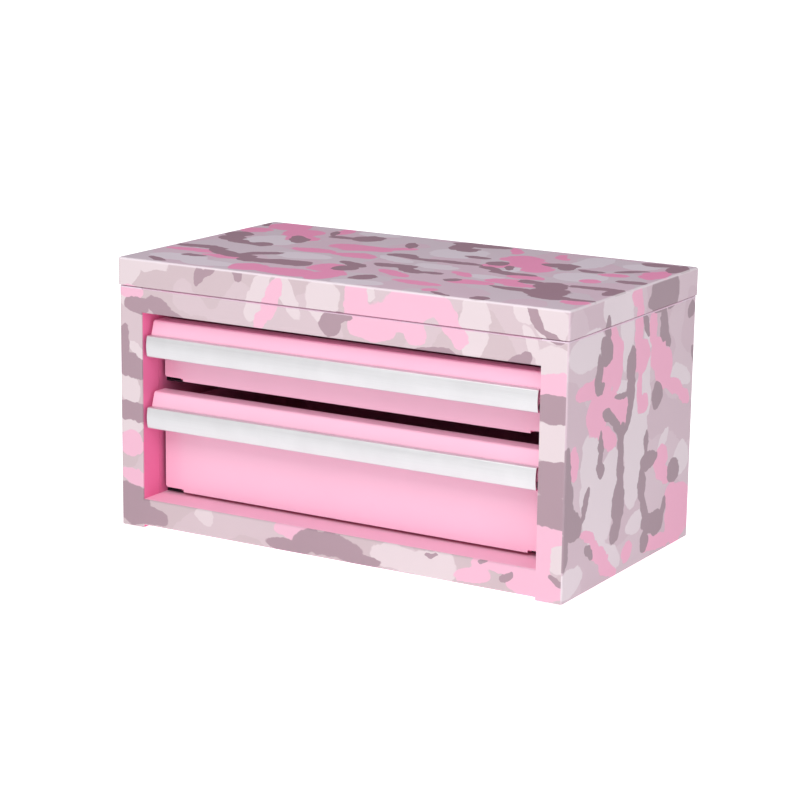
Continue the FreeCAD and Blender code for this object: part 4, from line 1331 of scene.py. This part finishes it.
@dataclass
class SoftBox:
    """A square soft light aimed at the chest's middle. share is the light that a white surface
    facing it would send back, where 1 is white in the picture."""

    name: str
    azimuth: float
    elevation: float
    share: float
    width: float
    distance: float = 1.6

    def build(self, target: Vector) -> None:
        """Makes the light.

        Args:
            target: where it points.
        """
        lamp = bpy.data.lights.new(self.name, "AREA")
        lamp.shape = "SQUARE"
        lamp.size = self.width
        # A square lamp of P watts lights a surface at distance d by P / (pi d^2), and a white
        # surface sends 1 / pi of that towards the camera.
        lamp.energy = self.share * math.pi ** 2 * self.distance ** 2
        holder = bpy.data.objects.new(self.name, lamp)
        out = direction(self.azimuth, self.elevation)
        holder.location = target + out * self.distance
        holder.rotation_euler = out.to_track_quat("Z", "Y").to_euler()
        bpy.context.scene.collection.objects.link(holder)
        LOG.info("%s: soft box", self.name)


@dataclass
class Studio:
    """Camera, white surroundings, floor and soft boxes. Places are in metres, angles in degrees, and
    the lens and sensor in millimetres; room, mirrored_room and the floor's glow and lift are
    strengths of light, where 1 is white."""

    camera_place: tuple[float, float, float] = (0.6682, -1.14155, 0.3776)
    azimuth: float = 30.550
    elevation: float = 12.925
    roll: float = 0.781
    lens: float = 110.68
    sensor: float = 36.0
    nearest: float = 0.01
    target: tuple[float, float, float] = (0.0, 0.0, 0.075)
    room: float = 0.26
    mirrored_room: float = 0.7
    floor_colour: str = "#E4E4E6"
    floor_glow: float = 0.65
    floor_lift: float = 0.45
    floor_size: float = 12.0
    lights: tuple[SoftBox, ...] = (
        SoftBox("front_soft_box", azimuth=8.0, elevation=45.0, share=0.52, width=0.9),
        SoftBox("fill_soft_box", azimuth=20.0, elevation=12.0, share=0.12, width=0.9),
        SoftBox("side_soft_box", azimuth=72.0, elevation=8.0, share=0.16, width=1.2),
    )

    def build(self) -> None:
        """Sets everything up."""
        self.build_camera()
        self.build_room()
        self.build_floor()
        for light in self.lights:
            light.build(Vector(self.target))

    def build_camera(self) -> None:
        """Places the camera: back is where it looks away from, right lies level, up completes them,
        and both turn about back by the roll."""
        azimuth, roll = math.radians(self.azimuth), math.radians(self.roll)
        back = direction(self.azimuth, self.elevation)
        right = Vector((math.cos(azimuth), math.sin(azimuth), 0.0))
        up = back.cross(right)
        right, up = (
            math.cos(roll) * right + math.sin(roll) * up, math.cos(roll) * up - math.sin(roll) * right,
        )
        lens = bpy.data.cameras.new("camera")
        lens.lens = self.lens
        lens.sensor_width = self.sensor
        lens.clip_start = self.nearest
        camera = bpy.data.objects.new("camera", lens)
        turn = Matrix((right, up, back)).transposed().to_4x4()
        camera.matrix_world = Matrix.Translation(Vector(self.camera_place)) @ turn
        bpy.context.scene.collection.objects.link(camera)
        bpy.context.scene.camera = camera

    def build_room(self) -> None:
        """Makes the surroundings: white for the camera, and a lower, even light for the object."""
        world = bpy.data.worlds.new("white_room")
        bpy.context.scene.world = world
        world.use_nodes = True
        tree = world.node_tree
        tree.nodes.clear()
        rays = add_node(tree, "LightPath").node.outputs
        mirrored = add_node(
            tree, "Math", {0: rays["Is Glossy Ray"], 1: rays["Is Transmission Ray"]}, operation="MAXIMUM"
        )
        strength = add_node(
            tree, "Mix", {"Factor": mirrored, 2: self.room, 3: self.mirrored_room}, **NUMBERS
        )
        strength = add_node(
            tree, "Mix", {"Factor": rays["Is Camera Ray"], 2: strength, 3: 1.0}, **NUMBERS
        )
        surface = add_node(tree, "Background", {"Color": WHITE, "Strength": strength})
        add_node(tree, "OutputWorld", {"Surface": surface})

    def build_floor(self) -> None:
        """Makes a white floor, lit from below as a light table is, that still takes the object's soft
        shadow; the camera sees it a little brighter, so that it meets the white room unseen."""
        half = self.floor_size / 2
        points = np.array([[-half, -half, 0.0], [half, -half, 0.0], [half, half, 0.0], [-half, half, 0.0]])
        floor = add_piece("floor", points, [[0, 1, 2, 3]])
        material = bpy.data.materials.new("white_light_table")
        material.use_nodes = True
        tree = material.node_tree
        tree.nodes.clear()
        paint = add_node(tree, "BsdfDiffuse", {"Color": linear(self.floor_colour)})
        looked_at = add_node(tree, "LightPath", output="Is Camera Ray")
        glow = add_node(
            tree, "Math", {0: looked_at, 1: self.floor_lift, 2: self.floor_glow}, operation="MULTIPLY_ADD"
        )
        light = add_node(tree, "Emission", {"Color": WHITE, "Strength": glow})
        both = add_node(tree, "AddShader", {0: paint, 1: light})
        add_node(tree, "OutputMaterial", {"Surface": both})
        floor.data.materials.append(material)


def main() -> None:
    """Builds the chest and its studio."""
    logging.basicConfig(level=logging.INFO, format="%(name)s %(message)s")
    scene = bpy.context.scene
    scene.view_settings.view_transform = "Standard"
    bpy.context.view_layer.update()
    Case().build()
    Lid().dress()
    for level in Level:
        Drawer(level).build()
    Studio().build()


if __name__ == "__main__":
    main()
